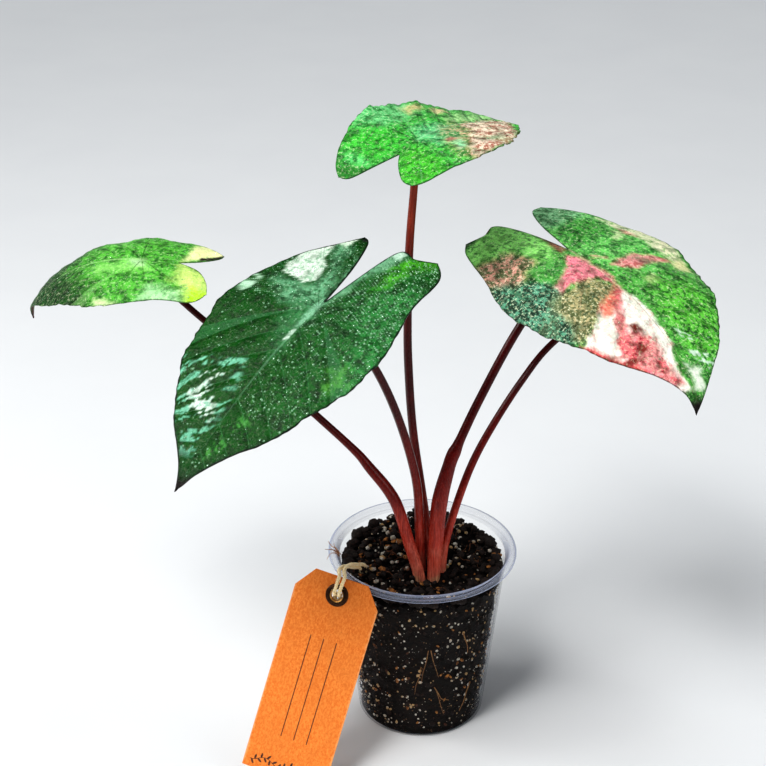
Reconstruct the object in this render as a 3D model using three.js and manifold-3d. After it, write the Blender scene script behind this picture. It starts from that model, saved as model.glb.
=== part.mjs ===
// A young variegated alocasia in a clear plastic cup of soil, with a card tag tied to the cup.
// Millimetres, +Z up. The origin is the middle of the cup's flat underside.
// The plant is seen from -Y, so +X is the viewer's right and +Y is away from the viewer.

import * as THREE from 'three';
import { mergeGeometries, mergeVertices } from 'three/addons/utils/BufferGeometryUtils.js';
import Module from 'manifold-3d';

const wasm = await Module();
wasm.setup();

// Driving dimensions
const GAP = 0.3;                  // clear space kept between neighbouring pieces

const CUP_HEIGHT = 100;
const RIM_RADIUS = 50;
const RIM_ROLL_WIDTH = 4.4;       // the rolled rim's section, across and up
const RIM_ROLL_HEIGHT = 4.2;
const WALL_TOP_RADIUS = 44.8;     // outside of the wall just under the rolled rim
const BASE_RADIUS = 34;
const WALL = 0.8;
const BASE_CHAMFER = 1;
const CUP_SEGMENTS = 48;
const DRAIN_HOLES = 6;
const DRAIN_RADIUS = 1.7;
const DRAIN_CIRCLE = 22;

const SOIL_LEVEL = 89;            // height of the soil's top at the front wall
const SOIL_BACK_RISE = 6;         // how much higher it is heaped at the back wall
const SOIL_RINGS = 9;
const SOIL_GRAINS = 24;
const SOIL_SEED = 41;

const CROWN = new THREE.Vector3(3.6, -12, 79);   // top of the underground stem
const CROWN_RADIUS = 9.4;
const CROWN_DEPTH = 26;
const POCKET_RADIUS = 10.6;       // plain hole in the soil that the crown and stalks stand in
const ROOT_COUNT = 6;
const ROOT_RADIUS = 1.3;
const ROOT_REACH = 21;

const BLADE_THICKNESS = 0.8;
const STALK_SIDES = 10;
const STALK_STEPS = 20;

const TAG_WIDTH = 45;
const TAG_LENGTH = 110.5;
const TAG_THICKNESS = 0.7;
const TAG_CUT_ACROSS = 8.2;       // the two cut corners
const TAG_CUT_DOWN = 11;
const EYELET_DROP = 9.5;          // eyelet centre below the tag's top edge
const EYELET_RADIUS = 6;
const EYELET_BORE = 3;
const EYELET_WALL = 0.6;
const EYELET_LIP = 0.5;           // thickness of its two flanges
const EYELET_CROWN = 0.4;         // how much the front flange swells
const TAG_EYE = new THREE.Vector3(-44.3, -41.2, 96.3);   // where the eyelet's centre hangs
const TAG_TURN = -12.2;           // degrees about the vertical
const TAG_LEAN = 22.5;            // degrees back from upright
const TAG_TWIST = -12.1;          // degrees in the tag's own plane
const TWINE_RADIUS = 0.8;
const TWINE_SPREAD = 1;           // each strand's offset from the pair's middle line
const KNOT_RADIUS = 3.4;

const rad = THREE.MathUtils.degToRad;

// Seeded random numbers, so that every build is the same
function seededRandom(seed) {
  let state = seed;
  return () => {
    state = (state * 1664525 + 1013904223) % 4294967296;
    return state / 4294967296;
  };
}

// Joining and cutting
function toSolid(geometry) {
  const bare = geometry.clone();
  bare.deleteAttribute('normal');
  bare.deleteAttribute('uv');
  const merged = mergeVertices(bare, 1e-4);
  const index = withoutSlivers(merged.index.array, merged.attributes.position);
  const mesh = new wasm.Mesh({
    numProp: 3,
    vertProperties: new Float32Array(merged.attributes.position.array),
    triVerts: new Uint32Array(index),
  });
  mesh.merge();
  return new wasm.Manifold(mesh);
}

function toGeometry(solid) {
  const mesh = solid.getMesh();
  const geometry = new THREE.BufferGeometry();
  geometry.setAttribute('position', new THREE.BufferAttribute(new Float32Array(mesh.vertProperties), 3));
  geometry.setIndex(new THREE.BufferAttribute(new Uint32Array(mesh.triVerts), 1));
  geometry.computeVertexNormals();
  return geometry;
}

function fuse(geometries) {
  return geometries.map(toSolid).reduce((whole, piece) => whole.add(piece));
}

// Triangles that two merged corners have closed to a line
function withoutSlivers(index) {
  const kept = [];
  for (let i = 0; i < index.length; i += 3) {
    const [a, b, c] = [index[i], index[i + 1], index[i + 2]];
    if (a !== b && b !== c && c !== a) kept.push(a, b, c);
  }
  return kept;
}

// A round stalk, root or strand: a closed cylinder bent along a curve, its radius following the stations
// Each station is [x, y, z, radius]; extra swells it all round, for the space that it stands in
function taperedTube(stations, sides, steps, extra = 0) {
  const curve = new THREE.CatmullRomCurve3(
    stations.map(([x, y, z]) => new THREE.Vector3(x, y, z)), false, 'catmullrom', 0.5);
  const sideways = new THREE.Vector3(0, 1, 0);
  const tube = new THREE.CylinderGeometry(1, 1, 1, sides, steps);
  const place = tube.attributes.position;
  for (let i = 0; i < place.count; i += 1) {
    const t = THREE.MathUtils.clamp(place.getY(i) + 0.5, 0, 1);
    const span = t * (stations.length - 1);
    const first = Math.min(Math.floor(span), stations.length - 2);
    const radius = THREE.MathUtils.lerp(stations[first][3], stations[first + 1][3], span - first) + extra;
    const along = curve.getTangent(t);
    const across = new THREE.Vector3().crossVectors(sideways, along).normalize();
    const other = new THREE.Vector3().crossVectors(across, along);
    const beyond = t === 0 ? -extra : (t === 1 ? extra : 0);
    const point = curve.getPoint(t)
      .addScaledVector(along, beyond)
      .addScaledVector(across, place.getX(i) * radius)
      .addScaledVector(other, place.getZ(i) * radius);
    place.setXYZ(i, point.x, point.y, point.z);
  }
  tube.computeVertexNormals();
  return tube;
}

// Leaf outline, shared by every blade, as fractions of the midrib from stalk to tip:
// where the outer margin's points lie along the midrib, and the half width there
const MARGIN_AHEAD = [[0.12, 0.441], [0.40, 0.389], [0.66, 0.256], [0.88, 0.066]];
const LOBE_SHOULDER = 0.154;      // how far the lobe swells past its tip
const LOBE_WAIST = 0.37;          // half width beside the stalk
const LOBE_ROUND = 0.94;          // how far back the lobe's inner edge reaches
const DRIP_START = 0.84;          // the drip tip starts here
const LOBE_COLUMNS = 7;
const VEINS = 5;
const COLUMNS_PER_VEIN = 3;
const COLUMNS = LOBE_COLUMNS + VEINS * COLUMNS_PER_VEIN;
const ROWS = 5;
const SINUS_AT = LOBE_COLUMNS / COLUMNS;   // column share where the two lobes part
const OUTER_AT_SINUS = 0.40;      // share of the outer margin that lies behind that column
const QUILT = 0.009;              // rise between two veins, and edge wave, over the midrib's length
const EDGE_WAVE = 0.010;
const EDGE_WAVES = 4;

// Each leaf: where its stalk joins the blade, the midrib's length, how wide it is, how far behind the
// stalk the lobes part, its heading (0 is +X, 90 is +Y), its pitch there, and how it arches, all in degrees.
// left and right are the halves as seen from above with the tip ahead: lobe length, how far the lobe tip
// stands off the midline, how full its inner edge is, and the half's fold and curl.
const LEAVES = [
  {
    name: '1', joint: [-140, 11, 259.5], length: 80, wide: 0.965, sinus: 0.23,
    heading: 169, pitch: 0, arch: -53, archMore: -10, lobeArch: 5, sway: 4, roll: -8, drip: -40,
    left: { lobe: 0.49, spread: 0.28, full: 0.57, fold: 4, curl: -72 },
    right: { lobe: 0.49, spread: 0.13, full: 0.52, fold: 3, curl: -71 },
    stalk: [
      [-2, -15, 79, 3.0], [-2, -15, 91, 3.2], [-7, -14, 109, 3.1], [-15, -12, 135, 3.1], [-28, -9, 153, 2.6],
      [-41, -6, 167, 2.1], [-82, 2, 204, 1.9], [-115, 8, 232, 1.7], [-132, 10, 249, 1.6],
    ],
  },
  {
    name: '2', joint: [-51, -42, 257.3], length: 113, wide: 0.985, sinus: 0.04,
    heading: 229, pitch: -18, arch: -33, archMore: 17, lobeArch: -1, sway: 4, roll: 0, drip: -5,
    left: { lobe: 0.45, spread: 0.285, full: 0.92, fold: 7, curl: -51 },
    right: { lobe: 0.45, spread: 0.12, full: 0.54, fold: 7, curl: -24 },
    stalk: [
      [-0.8, -8.5, 79, 2.6], [-0.8, -8.5, 91, 2.8], [-1.8, -10, 116, 2.5], [-4, -11.5, 147, 2.3],
      [-12.8, -15, 183, 2.2], [-24.5, -22, 215, 2.1], [-38, -31, 238, 2.0],
    ],
  },
  {
    name: '3', joint: [-4.4, 10, 321.5], length: 86, wide: 1, sinus: 0.177,
    heading: 54, pitch: 7, arch: -51, archMore: 29, lobeArch: 40, sway: -4, roll: -2, drip: -26,
    left: { lobe: 0.49, spread: 0.194, full: 0.43, fold: 9, curl: 5 },
    right: { lobe: 0.415, spread: 0.24, full: 0.455, fold: 4.5, curl: -31 },
    stalk: [
      [4.9, -8.9, 79, 2.2], [4.7, -8.5, 94, 2.3], [2.4, -6, 113, 2.3], [-0.8, -3, 136, 2.2],
      [-5.6, 0, 170, 2.2], [-8, 3, 203, 2.2], [-8.6, 5, 229, 2.1], [-8, 8, 266, 2.1], [-6, 10, 296, 1.9],
    ],
  },
  {
    name: '4', joint: [73, 23, 259.2], length: 117, wide: 1.064, sinus: 0.01,
    heading: -51, pitch: -7, arch: -23, archMore: -14, lobeArch: 25, sway: -9, roll: -6, drip: -48,
    left: { lobe: 0.42, spread: 0.224, full: 0.55, fold: 12, curl: -41 },
    right: { lobe: 0.376, spread: 0.274, full: 0.98, fold: -1.5, curl: -87 },
    stalk: [
      [5.5, -15.5, 79, 3.2], [5.6, -15.5, 90, 3.4], [6.6, -14.5, 112, 4.0], [8.4, -12.5, 135, 4.2],
      [13, -9.5, 154, 3.3], [15.8, -7.5, 161, 3.2], [19, -5, 168, 2.4], [28, 1.5, 186, 2.25],
      [43.6, 10, 215, 2.2], [60, 18, 240, 2.1],
    ],
  },
  {
    name: '5', joint: [88, 42, 219], length: 52, wide: 1, sinus: 0.1,
    heading: 25, pitch: -8, arch: -35, archMore: 0, lobeArch: 10, sway: 0, roll: 0, drip: -25,
    left: { lobe: 0.44, spread: 0.2, full: 0.5, fold: 8, curl: -40 },
    right: { lobe: 0.44, spread: 0.2, full: 0.5, fold: 8, curl: -40 },
    stalk: [
      [10, -9.8, 79, 2.2], [10.2, -9.5, 93, 2.3], [12, -8, 108, 2.2], [18.3, -3, 130, 2.1],
      [26.4, 4, 150, 2.05], [37.7, 12, 169, 1.95], [51.5, 21, 188, 1.85], [65, 30.5, 202, 1.75],
    ],
  },
];

// The flat blade: x is along the midrib from the stalk, y is away from it, in midrib lengths
function outerMargin(leaf, half) {
  return new THREE.SplineCurve([
    new THREE.Vector2(-half.lobe, half.spread),
    new THREE.Vector2(-half.lobe * 0.82, half.spread + LOBE_SHOULDER * half.lobe),
    new THREE.Vector2(-half.lobe * 0.35, LOBE_WAIST * leaf.wide),
    ...MARGIN_AHEAD.map(([ahead, width]) => new THREE.Vector2(ahead, width * leaf.wide)),
    new THREE.Vector2(1, 0),
  ]);
}

function innerMargin(leaf, half) {
  return new THREE.SplineCurve([
    new THREE.Vector2(-half.lobe, half.spread),
    new THREE.Vector2(-half.lobe * LOBE_ROUND, half.spread * 0.66),
    new THREE.Vector2(-half.lobe * half.full - leaf.sinus * (1 - half.full), half.spread * 0.27),
    new THREE.Vector2(-leaf.sinus, 0),
  ]);
}

// A point of the flat half: column runs from the lobe's tip to the drip tip, row from midrib to margin
function flatPoint(leaf, inner, outer, column, row) {
  const ahead = Math.max(0, (column - SINUS_AT) / (1 - SINUS_AT));
  const behind = Math.min(1, column / SINUS_AT);
  const root = column < SINUS_AT
    ? inner.getPointAt(behind)
    : new THREE.Vector2(THREE.MathUtils.lerp(-leaf.sinus, 1, ahead), 0);
  const share = column < SINUS_AT ? OUTER_AT_SINUS * behind : OUTER_AT_SINUS + (1 - OUTER_AT_SINUS) * ahead;
  return root.lerp(outer.getPointAt(share), row);
}

// The midrib's pitch and sideways swing at a distance from the stalk, in midrib lengths
function midribAngles(leaf, s) {
  if (s < 0) return [rad(leaf.pitch - leaf.lobeArch * s), 0];
  const drip = leaf.drip * Math.max(0, s - DRIP_START) / (1 - DRIP_START);
  return [rad(leaf.pitch + leaf.arch * s + leaf.archMore * s * s + drip), rad(leaf.sway * s)];
}

function midribDirection(leaf, s) {
  const [pitch, swing] = midribAngles(leaf, s);
  return new THREE.Vector3(
    Math.cos(pitch) * Math.cos(swing), Math.cos(pitch) * Math.sin(swing), Math.sin(pitch));
}

function midribPoint(leaf, s) {
  const steps = 32;
  const point = new THREE.Vector3();
  for (let k = 0; k < steps; k += 1) {
    point.addScaledVector(midribDirection(leaf, s * (k + 0.5) / steps), s / steps);
  }
  return point;
}

// From the leaf's own frame, with its midrib starting along X, to its place on the plant
function leafToPlant(leaf) {
  return new THREE.Matrix4().makeTranslation(...leaf.joint)
    .multiply(new THREE.Matrix4().makeRotationZ(rad(leaf.heading)))
    .multiply(new THREE.Matrix4().makeRotationX(rad(leaf.roll)));
}

// A flat point lifted to the arched, folded and quilted blade; side is 1 on the left and -1 on the right
function bladePoint(leaf, half, side, flat, column, row) {
  const along = midribDirection(leaf, flat.x);
  const [, swing] = midribAngles(leaf, flat.x);
  const sideways = new THREE.Vector3(-Math.sin(swing), Math.cos(swing), 0);
  const upward = new THREE.Vector3().crossVectors(along, sideways);
  const fold = rad(half.fold);
  const curl = rad(half.curl);
  const angle = fold + curl * flat.y;
  const out = (Math.sin(angle) - Math.sin(fold)) / curl;
  const up = (Math.cos(fold) - Math.cos(angle)) / curl;
  const vein = Math.max(0, (column - SINUS_AT) / (1 - SINUS_AT)) * VEINS;
  const quilt = QUILT * Math.sin(Math.PI * vein) ** 2 * Math.sin(Math.PI * row);
  const ripple = Math.sin(2 * Math.PI * EDGE_WAVES * column) * Math.sin(Math.PI * column);
  const wave = EDGE_WAVE * ripple * row ** 3;
  const relief = quilt + wave;
  return midribPoint(leaf, flat.x)
    .addScaledVector(sideways, side * (out - relief * Math.sin(angle)))
    .addScaledVector(upward, up + relief * Math.cos(angle))
    .multiplyScalar(leaf.length)
    .applyMatrix4(leafToPlant(leaf));
}

function bladeHalf(leaf, half, side) {
  const inner = innerMargin(leaf, half);
  const outer = outerMargin(leaf, half);
  const sheet = new THREE.PlaneGeometry(1, 1, COLUMNS, ROWS);
  const place = sheet.attributes.position;
  for (let i = 0; i < place.count; i += 1) {
    const column = THREE.MathUtils.clamp(place.getX(i) + 0.5, 0, 1);
    const row = THREE.MathUtils.clamp(place.getY(i) + 0.5, 0, 1);
    const flat = flatPoint(leaf, inner, outer, column, row);
    const point = bladePoint(leaf, half, side, flat, column, row);
    place.setXYZ(i, point.x, point.y, point.z);
  }
  if (side < 0) sheet.index.array.reverse();
  return sheet;
}

// A closed body from an open sheet: the same triangles on both faces, and a strip round the edge
function bodyFromSheet(sheet, thickness) {
  sheet.deleteAttribute('normal');
  sheet.deleteAttribute('uv');
  const merged = mergeVertices(sheet, 1e-3);
  merged.setIndex(withoutSlivers(merged.index.array));
  merged.computeVertexNormals();
  const top = merged.attributes.position;
  const normal = merged.attributes.normal;
  const count = top.count;
  const points = [...top.array];
  for (let i = 0; i < count; i += 1) {
    points.push(
      top.getX(i) - normal.getX(i) * thickness,
      top.getY(i) - normal.getY(i) * thickness,
      top.getZ(i) - normal.getZ(i) * thickness);
  }
  const upper = [...merged.index.array];
  const faces = [...upper];
  const edges = new Set();
  for (let i = 0; i < upper.length; i += 3) {
    const [a, b, c] = [upper[i], upper[i + 1], upper[i + 2]];
    faces.push(a + count, c + count, b + count);
    edges.add(`${a},${b}`).add(`${b},${c}`).add(`${c},${a}`);
  }
  for (const edge of edges) {
    const [a, b] = edge.split(',').map(Number);
    if (edges.has(`${b},${a}`)) continue;
    faces.push(b, a, a + count, b, a + count, b + count);
  }
  const body = new THREE.BufferGeometry();
  body.setAttribute('position', new THREE.Float32BufferAttribute(points, 3));
  body.setIndex(faces);
  body.computeVertexNormals();
  return body;
}

function blade(leaf) {
  const sheet = mergeGeometries([bladeHalf(leaf, leaf.left, 1), bladeHalf(leaf, leaf.right, -1)]);
  return bodyFromSheet(sheet, BLADE_THICKNESS);
}

// The stalk ends just under the blade, square to its own line
function stalk(leaf) {
  const [x, y, z, tipRadius] = leaf.stalk.at(-1);
  const joint = new THREE.Vector3(...leaf.joint);
  const blade = new THREE.Vector3(-Math.sin(rad(leaf.pitch)), 0, Math.cos(rad(leaf.pitch)))
    .transformDirection(leafToPlant(leaf));
  const lean = blade.angleTo(joint.clone().sub(new THREE.Vector3(x, y, z)));
  const drop = BLADE_THICKNESS + GAP + tipRadius * (Math.sin(lean) + 0.16);
  const end = joint.addScaledVector(blade, -drop);
  return taperedTube([...leaf.stalk, [end.x, end.y, end.z, tipRadius]], STALK_SIDES, STALK_STEPS);
}

// The cup: one revolved section, with a rolled rim and drain holes in the floor
function wallRadius(z) {
  return THREE.MathUtils.lerp(BASE_RADIUS, WALL_TOP_RADIUS, z / (CUP_HEIGHT - RIM_ROLL_HEIGHT));
}

function cup() {
  const rollX = RIM_RADIUS - RIM_ROLL_WIDTH / 2;
  const rollZ = CUP_HEIGHT - RIM_ROLL_HEIGHT / 2;
  const roll = [-125, -75, -30, 15, 60, 100, 145].map((degrees) => new THREE.Vector2(
    rollX + RIM_ROLL_WIDTH / 2 * Math.cos(rad(degrees)),
    rollZ + RIM_ROLL_HEIGHT / 2 * Math.sin(rad(degrees))));
  const topZ = CUP_HEIGHT - RIM_ROLL_HEIGHT;
  const section = [
    new THREE.Vector2(0, 0),
    new THREE.Vector2(BASE_RADIUS - BASE_CHAMFER, 0),
    new THREE.Vector2(wallRadius(BASE_CHAMFER), BASE_CHAMFER),
    new THREE.Vector2(WALL_TOP_RADIUS, topZ),
    ...roll,
    new THREE.Vector2(WALL_TOP_RADIUS - WALL, topZ),
    new THREE.Vector2(wallRadius(WALL) - WALL, WALL),
    new THREE.Vector2(0, WALL),
  ];
  const shell = new THREE.LatheGeometry(section, CUP_SEGMENTS).rotateX(Math.PI / 2);
  let solid = toSolid(shell);
  for (let k = 0; k < DRAIN_HOLES; k += 1) {
    const angle = 2 * Math.PI * k / DRAIN_HOLES;
    const drain = new THREE.CylinderGeometry(DRAIN_RADIUS, DRAIN_RADIUS, 4 * WALL, 12)
      .rotateX(Math.PI / 2)
      .translate(DRAIN_CIRCLE * Math.cos(angle), DRAIN_CIRCLE * Math.sin(angle), WALL / 2);
    solid = solid.subtract(toSolid(drain));
  }
  return toGeometry(solid);
}

// The underground stem and its main roots; extra swells them, for the space that they fill in the soil
function rootstockSolid(extra = 0) {
  const stem = taperedTube([
    [CROWN.x, CROWN.y, CROWN.z - CROWN_DEPTH, 4], [CROWN.x, CROWN.y, CROWN.z - CROWN_DEPTH * 0.6, 6.5],
    [CROWN.x, CROWN.y, CROWN.z - CROWN_DEPTH * 0.25, 8.5], [CROWN.x, CROWN.y, CROWN.z - GAP, CROWN_RADIUS],
  ], 16, 6, extra);
  const pieces = [stem];
  for (let k = 0; k < ROOT_COUNT; k += 1) {
    const angle = 2 * Math.PI * (k + 0.35) / ROOT_COUNT;
    const out = new THREE.Vector2(Math.cos(angle), Math.sin(angle));
    const drop = 14 + 7 * (k % 3);
    const x = CROWN.x + ROOT_REACH * out.x;
    pieces.push(taperedTube([
      [CROWN.x + 2 * out.x, CROWN.y + 2 * out.y, CROWN.z - 12, 2.2],
      [CROWN.x + 12 * out.x, CROWN.y + 12 * out.y, CROWN.z - 17, ROOT_RADIUS * 1.3],
      [x, CROWN.y + ROOT_REACH * 0.8 * out.y, CROWN.z - 24 - drop / 2, ROOT_RADIUS],
      [x, CROWN.y + ROOT_REACH * 0.7 * out.y, CROWN.z - 30 - drop * 1.6, ROOT_RADIUS * 0.7],
    ], 6, 7, extra));
  }
  return fuse(pieces);
}

// Height of the soil's top: it lies higher at the back, with low lumps
function soilHeight(x, y) {
  const lumps = 1.1 * Math.sin(0.31 * x + 1.2) * Math.cos(0.27 * y + 0.4)
    + 0.8 * Math.sin(0.62 * x - 0.45 * y + 2) + 0.5 * Math.cos(0.9 * x + 0.8 * y);
  return SOIL_LEVEL + SOIL_BACK_RISE * ((y / WALL_TOP_RADIUS + 1) / 2) ** 2 + lumps;
}

function soil(twine) {
  const inset = WALL + GAP;
  const edge = wallRadius(SOIL_LEVEL) - inset;
  const floor = WALL + GAP;
  const section = [new THREE.Vector2(0, floor), new THREE.Vector2(wallRadius(floor) - inset, floor)];
  for (let ring = SOIL_RINGS; ring >= 0; ring -= 1) {
    section.push(new THREE.Vector2(edge * ring / SOIL_RINGS, SOIL_LEVEL));
  }
  const body = new THREE.LatheGeometry(section, CUP_SEGMENTS).rotateX(Math.PI / 2);
  const place = body.attributes.position;
  for (let i = 0; i < place.count; i += 1) {
    if (place.getZ(i) < SOIL_LEVEL - 1) continue;
    place.setZ(i, soilHeight(place.getX(i), place.getY(i)));
    const reach = Math.hypot(place.getX(i), place.getY(i));
    const limit = wallRadius(place.getZ(i)) - inset;
    if (reach > limit || reach > edge - 0.1) {
      place.setX(i, place.getX(i) * limit / reach);
      place.setY(i, place.getY(i) * limit / reach);
    }
  }
  let solid = toSolid(body);
  const random = seededRandom(SOIL_SEED);
  for (let k = 0; k < SOIL_GRAINS; k += 1) {
    const turn = 2 * Math.PI * random();
    const reach = (edge - 4) * Math.sqrt(random());
    const size = 1.3 + 1.1 * random();
    const x = reach * Math.cos(turn);
    const y = reach * Math.sin(turn);
    const grain = new THREE.IcosahedronGeometry(size, 0)
      .rotateZ(turn)
      .translate(x, y, soilHeight(x, y) + size * 0.15);
    if (Math.hypot(x - CROWN.x, y - CROWN.y) < POCKET_RADIUS + size + 1) continue;
    solid = solid.add(toSolid(grain));
  }
  const pocketDepth = 40;
  const pocket = new THREE.CylinderGeometry(POCKET_RADIUS, POCKET_RADIUS, pocketDepth, 20)
    .rotateX(Math.PI / 2)
    .translate(CROWN.x, CROWN.y, CROWN.z - CROWN_DEPTH * 0.25 + pocketDepth / 2);
  return toGeometry(solid.subtract(toSolid(pocket)).subtract(rootstockSolid(GAP + 0.1)).subtract(twine));
}

// The tag hangs in front of the cup's rim at its left, leaning back against it
function tagToPlant() {
  return new THREE.Matrix4().makeTranslation(TAG_EYE.x, TAG_EYE.y, TAG_EYE.z)
    .multiply(new THREE.Matrix4().makeRotationZ(rad(TAG_TURN)))
    .multiply(new THREE.Matrix4().makeRotationX(rad(90 - TAG_LEAN)))
    .multiply(new THREE.Matrix4().makeRotationZ(rad(TAG_TWIST)));
}

// Flat in its own frame: X across, Y up the tag, Z out of its front, the eyelet's centre at the origin
function tagCard() {
  const half = TAG_WIDTH / 2;
  const top = EYELET_DROP;
  const bottom = top - TAG_LENGTH;
  const outline = new THREE.Shape([
    new THREE.Vector2(-half, bottom), new THREE.Vector2(half, bottom),
    new THREE.Vector2(half, top - TAG_CUT_DOWN), new THREE.Vector2(half - TAG_CUT_ACROSS, top),
    new THREE.Vector2(TAG_CUT_ACROSS - half, top), new THREE.Vector2(-half, top - TAG_CUT_DOWN),
  ]);
  const hole = new THREE.Path().absarc(0, 0, EYELET_BORE + EYELET_WALL + GAP, 0, 2 * Math.PI, true);
  outline.holes.push(hole);
  return new THREE.ExtrudeGeometry(outline, { depth: TAG_THICKNESS, bevelEnabled: false, curveSegments: 20 })
    .translate(0, 0, -TAG_THICKNESS / 2)
    .applyMatrix4(tagToPlant());
}

function eyelet() {
  const face = TAG_THICKNESS / 2 + GAP;
  const barrel = EYELET_BORE + EYELET_WALL;
  const back = -face - EYELET_LIP;
  const front = face + EYELET_LIP;
  const section = [
    new THREE.Vector2(EYELET_BORE, back), new THREE.Vector2(EYELET_RADIUS - 1, back),
    new THREE.Vector2(EYELET_RADIUS - 1, -face), new THREE.Vector2(barrel, -face),
    new THREE.Vector2(barrel, face), new THREE.Vector2(EYELET_RADIUS, face),
    new THREE.Vector2(EYELET_RADIUS - 0.3, front), new THREE.Vector2(barrel, front + EYELET_CROWN),
    new THREE.Vector2(EYELET_BORE, front), new THREE.Vector2(EYELET_BORE, back),
  ];
  return new THREE.LatheGeometry(section, 24).rotateX(Math.PI / 2).applyMatrix4(tagToPlant());
}

// Two strands from a knot behind the tag, through the eyelet, over the rim and down into the soil
function twineSolid(extra = 0) {
  const toPlant = tagToPlant();
  const strands = [-1, 1].map((side) => {
    const offset = side * TWINE_SPREAD;
    const onTag = (across, up, out) => new THREE.Vector3(across, up, out).applyMatrix4(toPlant);
    const route = [
      onTag(offset * 0.9, 0, -3.2),
      onTag(offset * 0.9, 0.1, 0.5),
      onTag(offset * 0.95, 1.5, 3),
      onTag(offset, 5.5, 2.7),
      onTag(offset * 1.1, EYELET_DROP + 0.9, 1.9),
      new THREE.Vector3(-42 + offset, -31.5, 105.3),
      new THREE.Vector3(-39.5 + offset, -24 + offset * 0.5, 102.9),
      new THREE.Vector3(-35.2 + offset, -16 + offset, 97.5),
      new THREE.Vector3(-31.5 + offset, -9 + offset, 92),
      new THREE.Vector3(-30 + offset, -7 + offset, 82),
    ];
    return taperedTube(route.map((point) => [...point.toArray(), TWINE_RADIUS]), 7, 27, extra);
  });
  const flatness = 0.7;
  const knot = new THREE.SphereGeometry(KNOT_RADIUS + extra, 8, 6)
    .scale(1, 1, flatness)
    .translate(0, 0, -TAG_THICKNESS / 2 - GAP - EYELET_LIP - GAP - KNOT_RADIUS * flatness)
    .applyMatrix4(toPlant);
  return fuse([...strands, knot]);
}

const MATERIALS = {
  clear_plastic: { color: 0xd9dde2, roughness: 0.12, metalness: 0, transparent: true, opacity: 0.35 },
  soil: { color: 0x241710, roughness: 0.95, metalness: 0 },
  root: { color: 0xb08c5c, roughness: 0.8, metalness: 0 },
  stalk: { color: 0x4a120e, roughness: 0.35, metalness: 0 },
  lime_leaf: { color: 0x7fb83c, roughness: 0.35, metalness: 0 },
  dark_leaf: { color: 0x1f5a2c, roughness: 0.3, metalness: 0 },
  mint_leaf: { color: 0x5cae54, roughness: 0.35, metalness: 0 },
  pink_leaf: { color: 0xd88a86, roughness: 0.35, metalness: 0 },
  kraft: { color: 0xd8782e, roughness: 0.85, metalness: 0 },
  brass: { color: 0x8a5a2c, roughness: 0.35, metalness: 1 },
  jute: { color: 0xe2c48e, roughness: 0.95, metalness: 0 },
};

const group = new THREE.Group();

function place(name, geometry, material) {
  const mesh = new THREE.Mesh(geometry, new THREE.MeshStandardMaterial(MATERIALS[material]));
  mesh.name = name;
  group.add(mesh);
}

place('pot', cup(), 'clear_plastic');
place('soil', soil(twineSolid(GAP)), 'soil');
place('rootstock', toGeometry(rootstockSolid()), 'root');

const BLADE_FINISH = { 1: 'lime_leaf', 2: 'dark_leaf', 3: 'mint_leaf', 4: 'pink_leaf', 5: 'dark_leaf' };
for (const leaf of LEAVES) {
  place(`petiole_${leaf.name}`, stalk(leaf), 'stalk');
  place(`blade_${leaf.name}`, blade(leaf), BLADE_FINISH[leaf.name]);
}

place('tag_card', tagCard(), 'kraft');
place('tag_eyelet', eyelet(), 'brass');
place('tag_twine', toGeometry(twineSolid()), 'jute');

export default group;
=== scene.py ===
import math
import random

import bmesh
import bpy
import numpy as np
from mathutils import Matrix, Vector, noise


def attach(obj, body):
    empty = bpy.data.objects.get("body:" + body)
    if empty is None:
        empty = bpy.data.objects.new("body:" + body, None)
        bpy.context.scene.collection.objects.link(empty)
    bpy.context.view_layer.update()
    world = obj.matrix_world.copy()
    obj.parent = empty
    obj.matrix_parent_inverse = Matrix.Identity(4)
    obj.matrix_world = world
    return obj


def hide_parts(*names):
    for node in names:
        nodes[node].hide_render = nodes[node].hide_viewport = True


# A young variegated alocasia in a clear cup of soil, with a card tag tied to the cup.
# The frame is in metres, +Z up, with its origin under the middle of the cup, seen from -Y.
# Lengths here are millimetres where no comment says metres or midrib lengths.

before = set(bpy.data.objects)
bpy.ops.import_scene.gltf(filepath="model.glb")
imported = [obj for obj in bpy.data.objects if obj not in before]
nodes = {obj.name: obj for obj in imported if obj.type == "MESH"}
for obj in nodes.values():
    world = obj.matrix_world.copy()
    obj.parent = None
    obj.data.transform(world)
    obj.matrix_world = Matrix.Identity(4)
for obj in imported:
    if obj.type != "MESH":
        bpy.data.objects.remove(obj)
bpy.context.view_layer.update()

MM = 0.001
TURN = 2 * math.pi


# Camera

CAMERA_AT = (-0.020906, -0.765389, 0.582986)    # metres
CAMERA_DIP = 26.785                             # degrees below level
SENSOR = 36
FOCAL_PIXELS = 1697
PICTURE_PIXELS = 766


def stand(name, data):
    """A new object in the scene."""
    made = bpy.data.objects.new(name, data)
    bpy.context.scene.collection.objects.link(made)
    return made


def place_camera():
    data = bpy.data.cameras.new("camera")
    data.sensor_width = SENSOR
    data.lens = SENSOR * FOCAL_PIXELS / PICTURE_PIXELS
    data.clip_end = 50
    camera = stand("camera", data)
    camera.location = CAMERA_AT
    camera.rotation_euler = (math.radians(90 - CAMERA_DIP), 0, 0)
    bpy.context.scene.camera = camera


place_camera()


# Node materials

def colour(code):
    """A linear colour from its screen code, such as a04030."""
    channels = [int(code[i:i + 2], 16) / 255 for i in (0, 2, 4)]
    linear = [c / 12.92 if c <= 0.04045 else ((c + 0.055) / 1.055) ** 2.4 for c in channels]
    return (*linear, 1)


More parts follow.
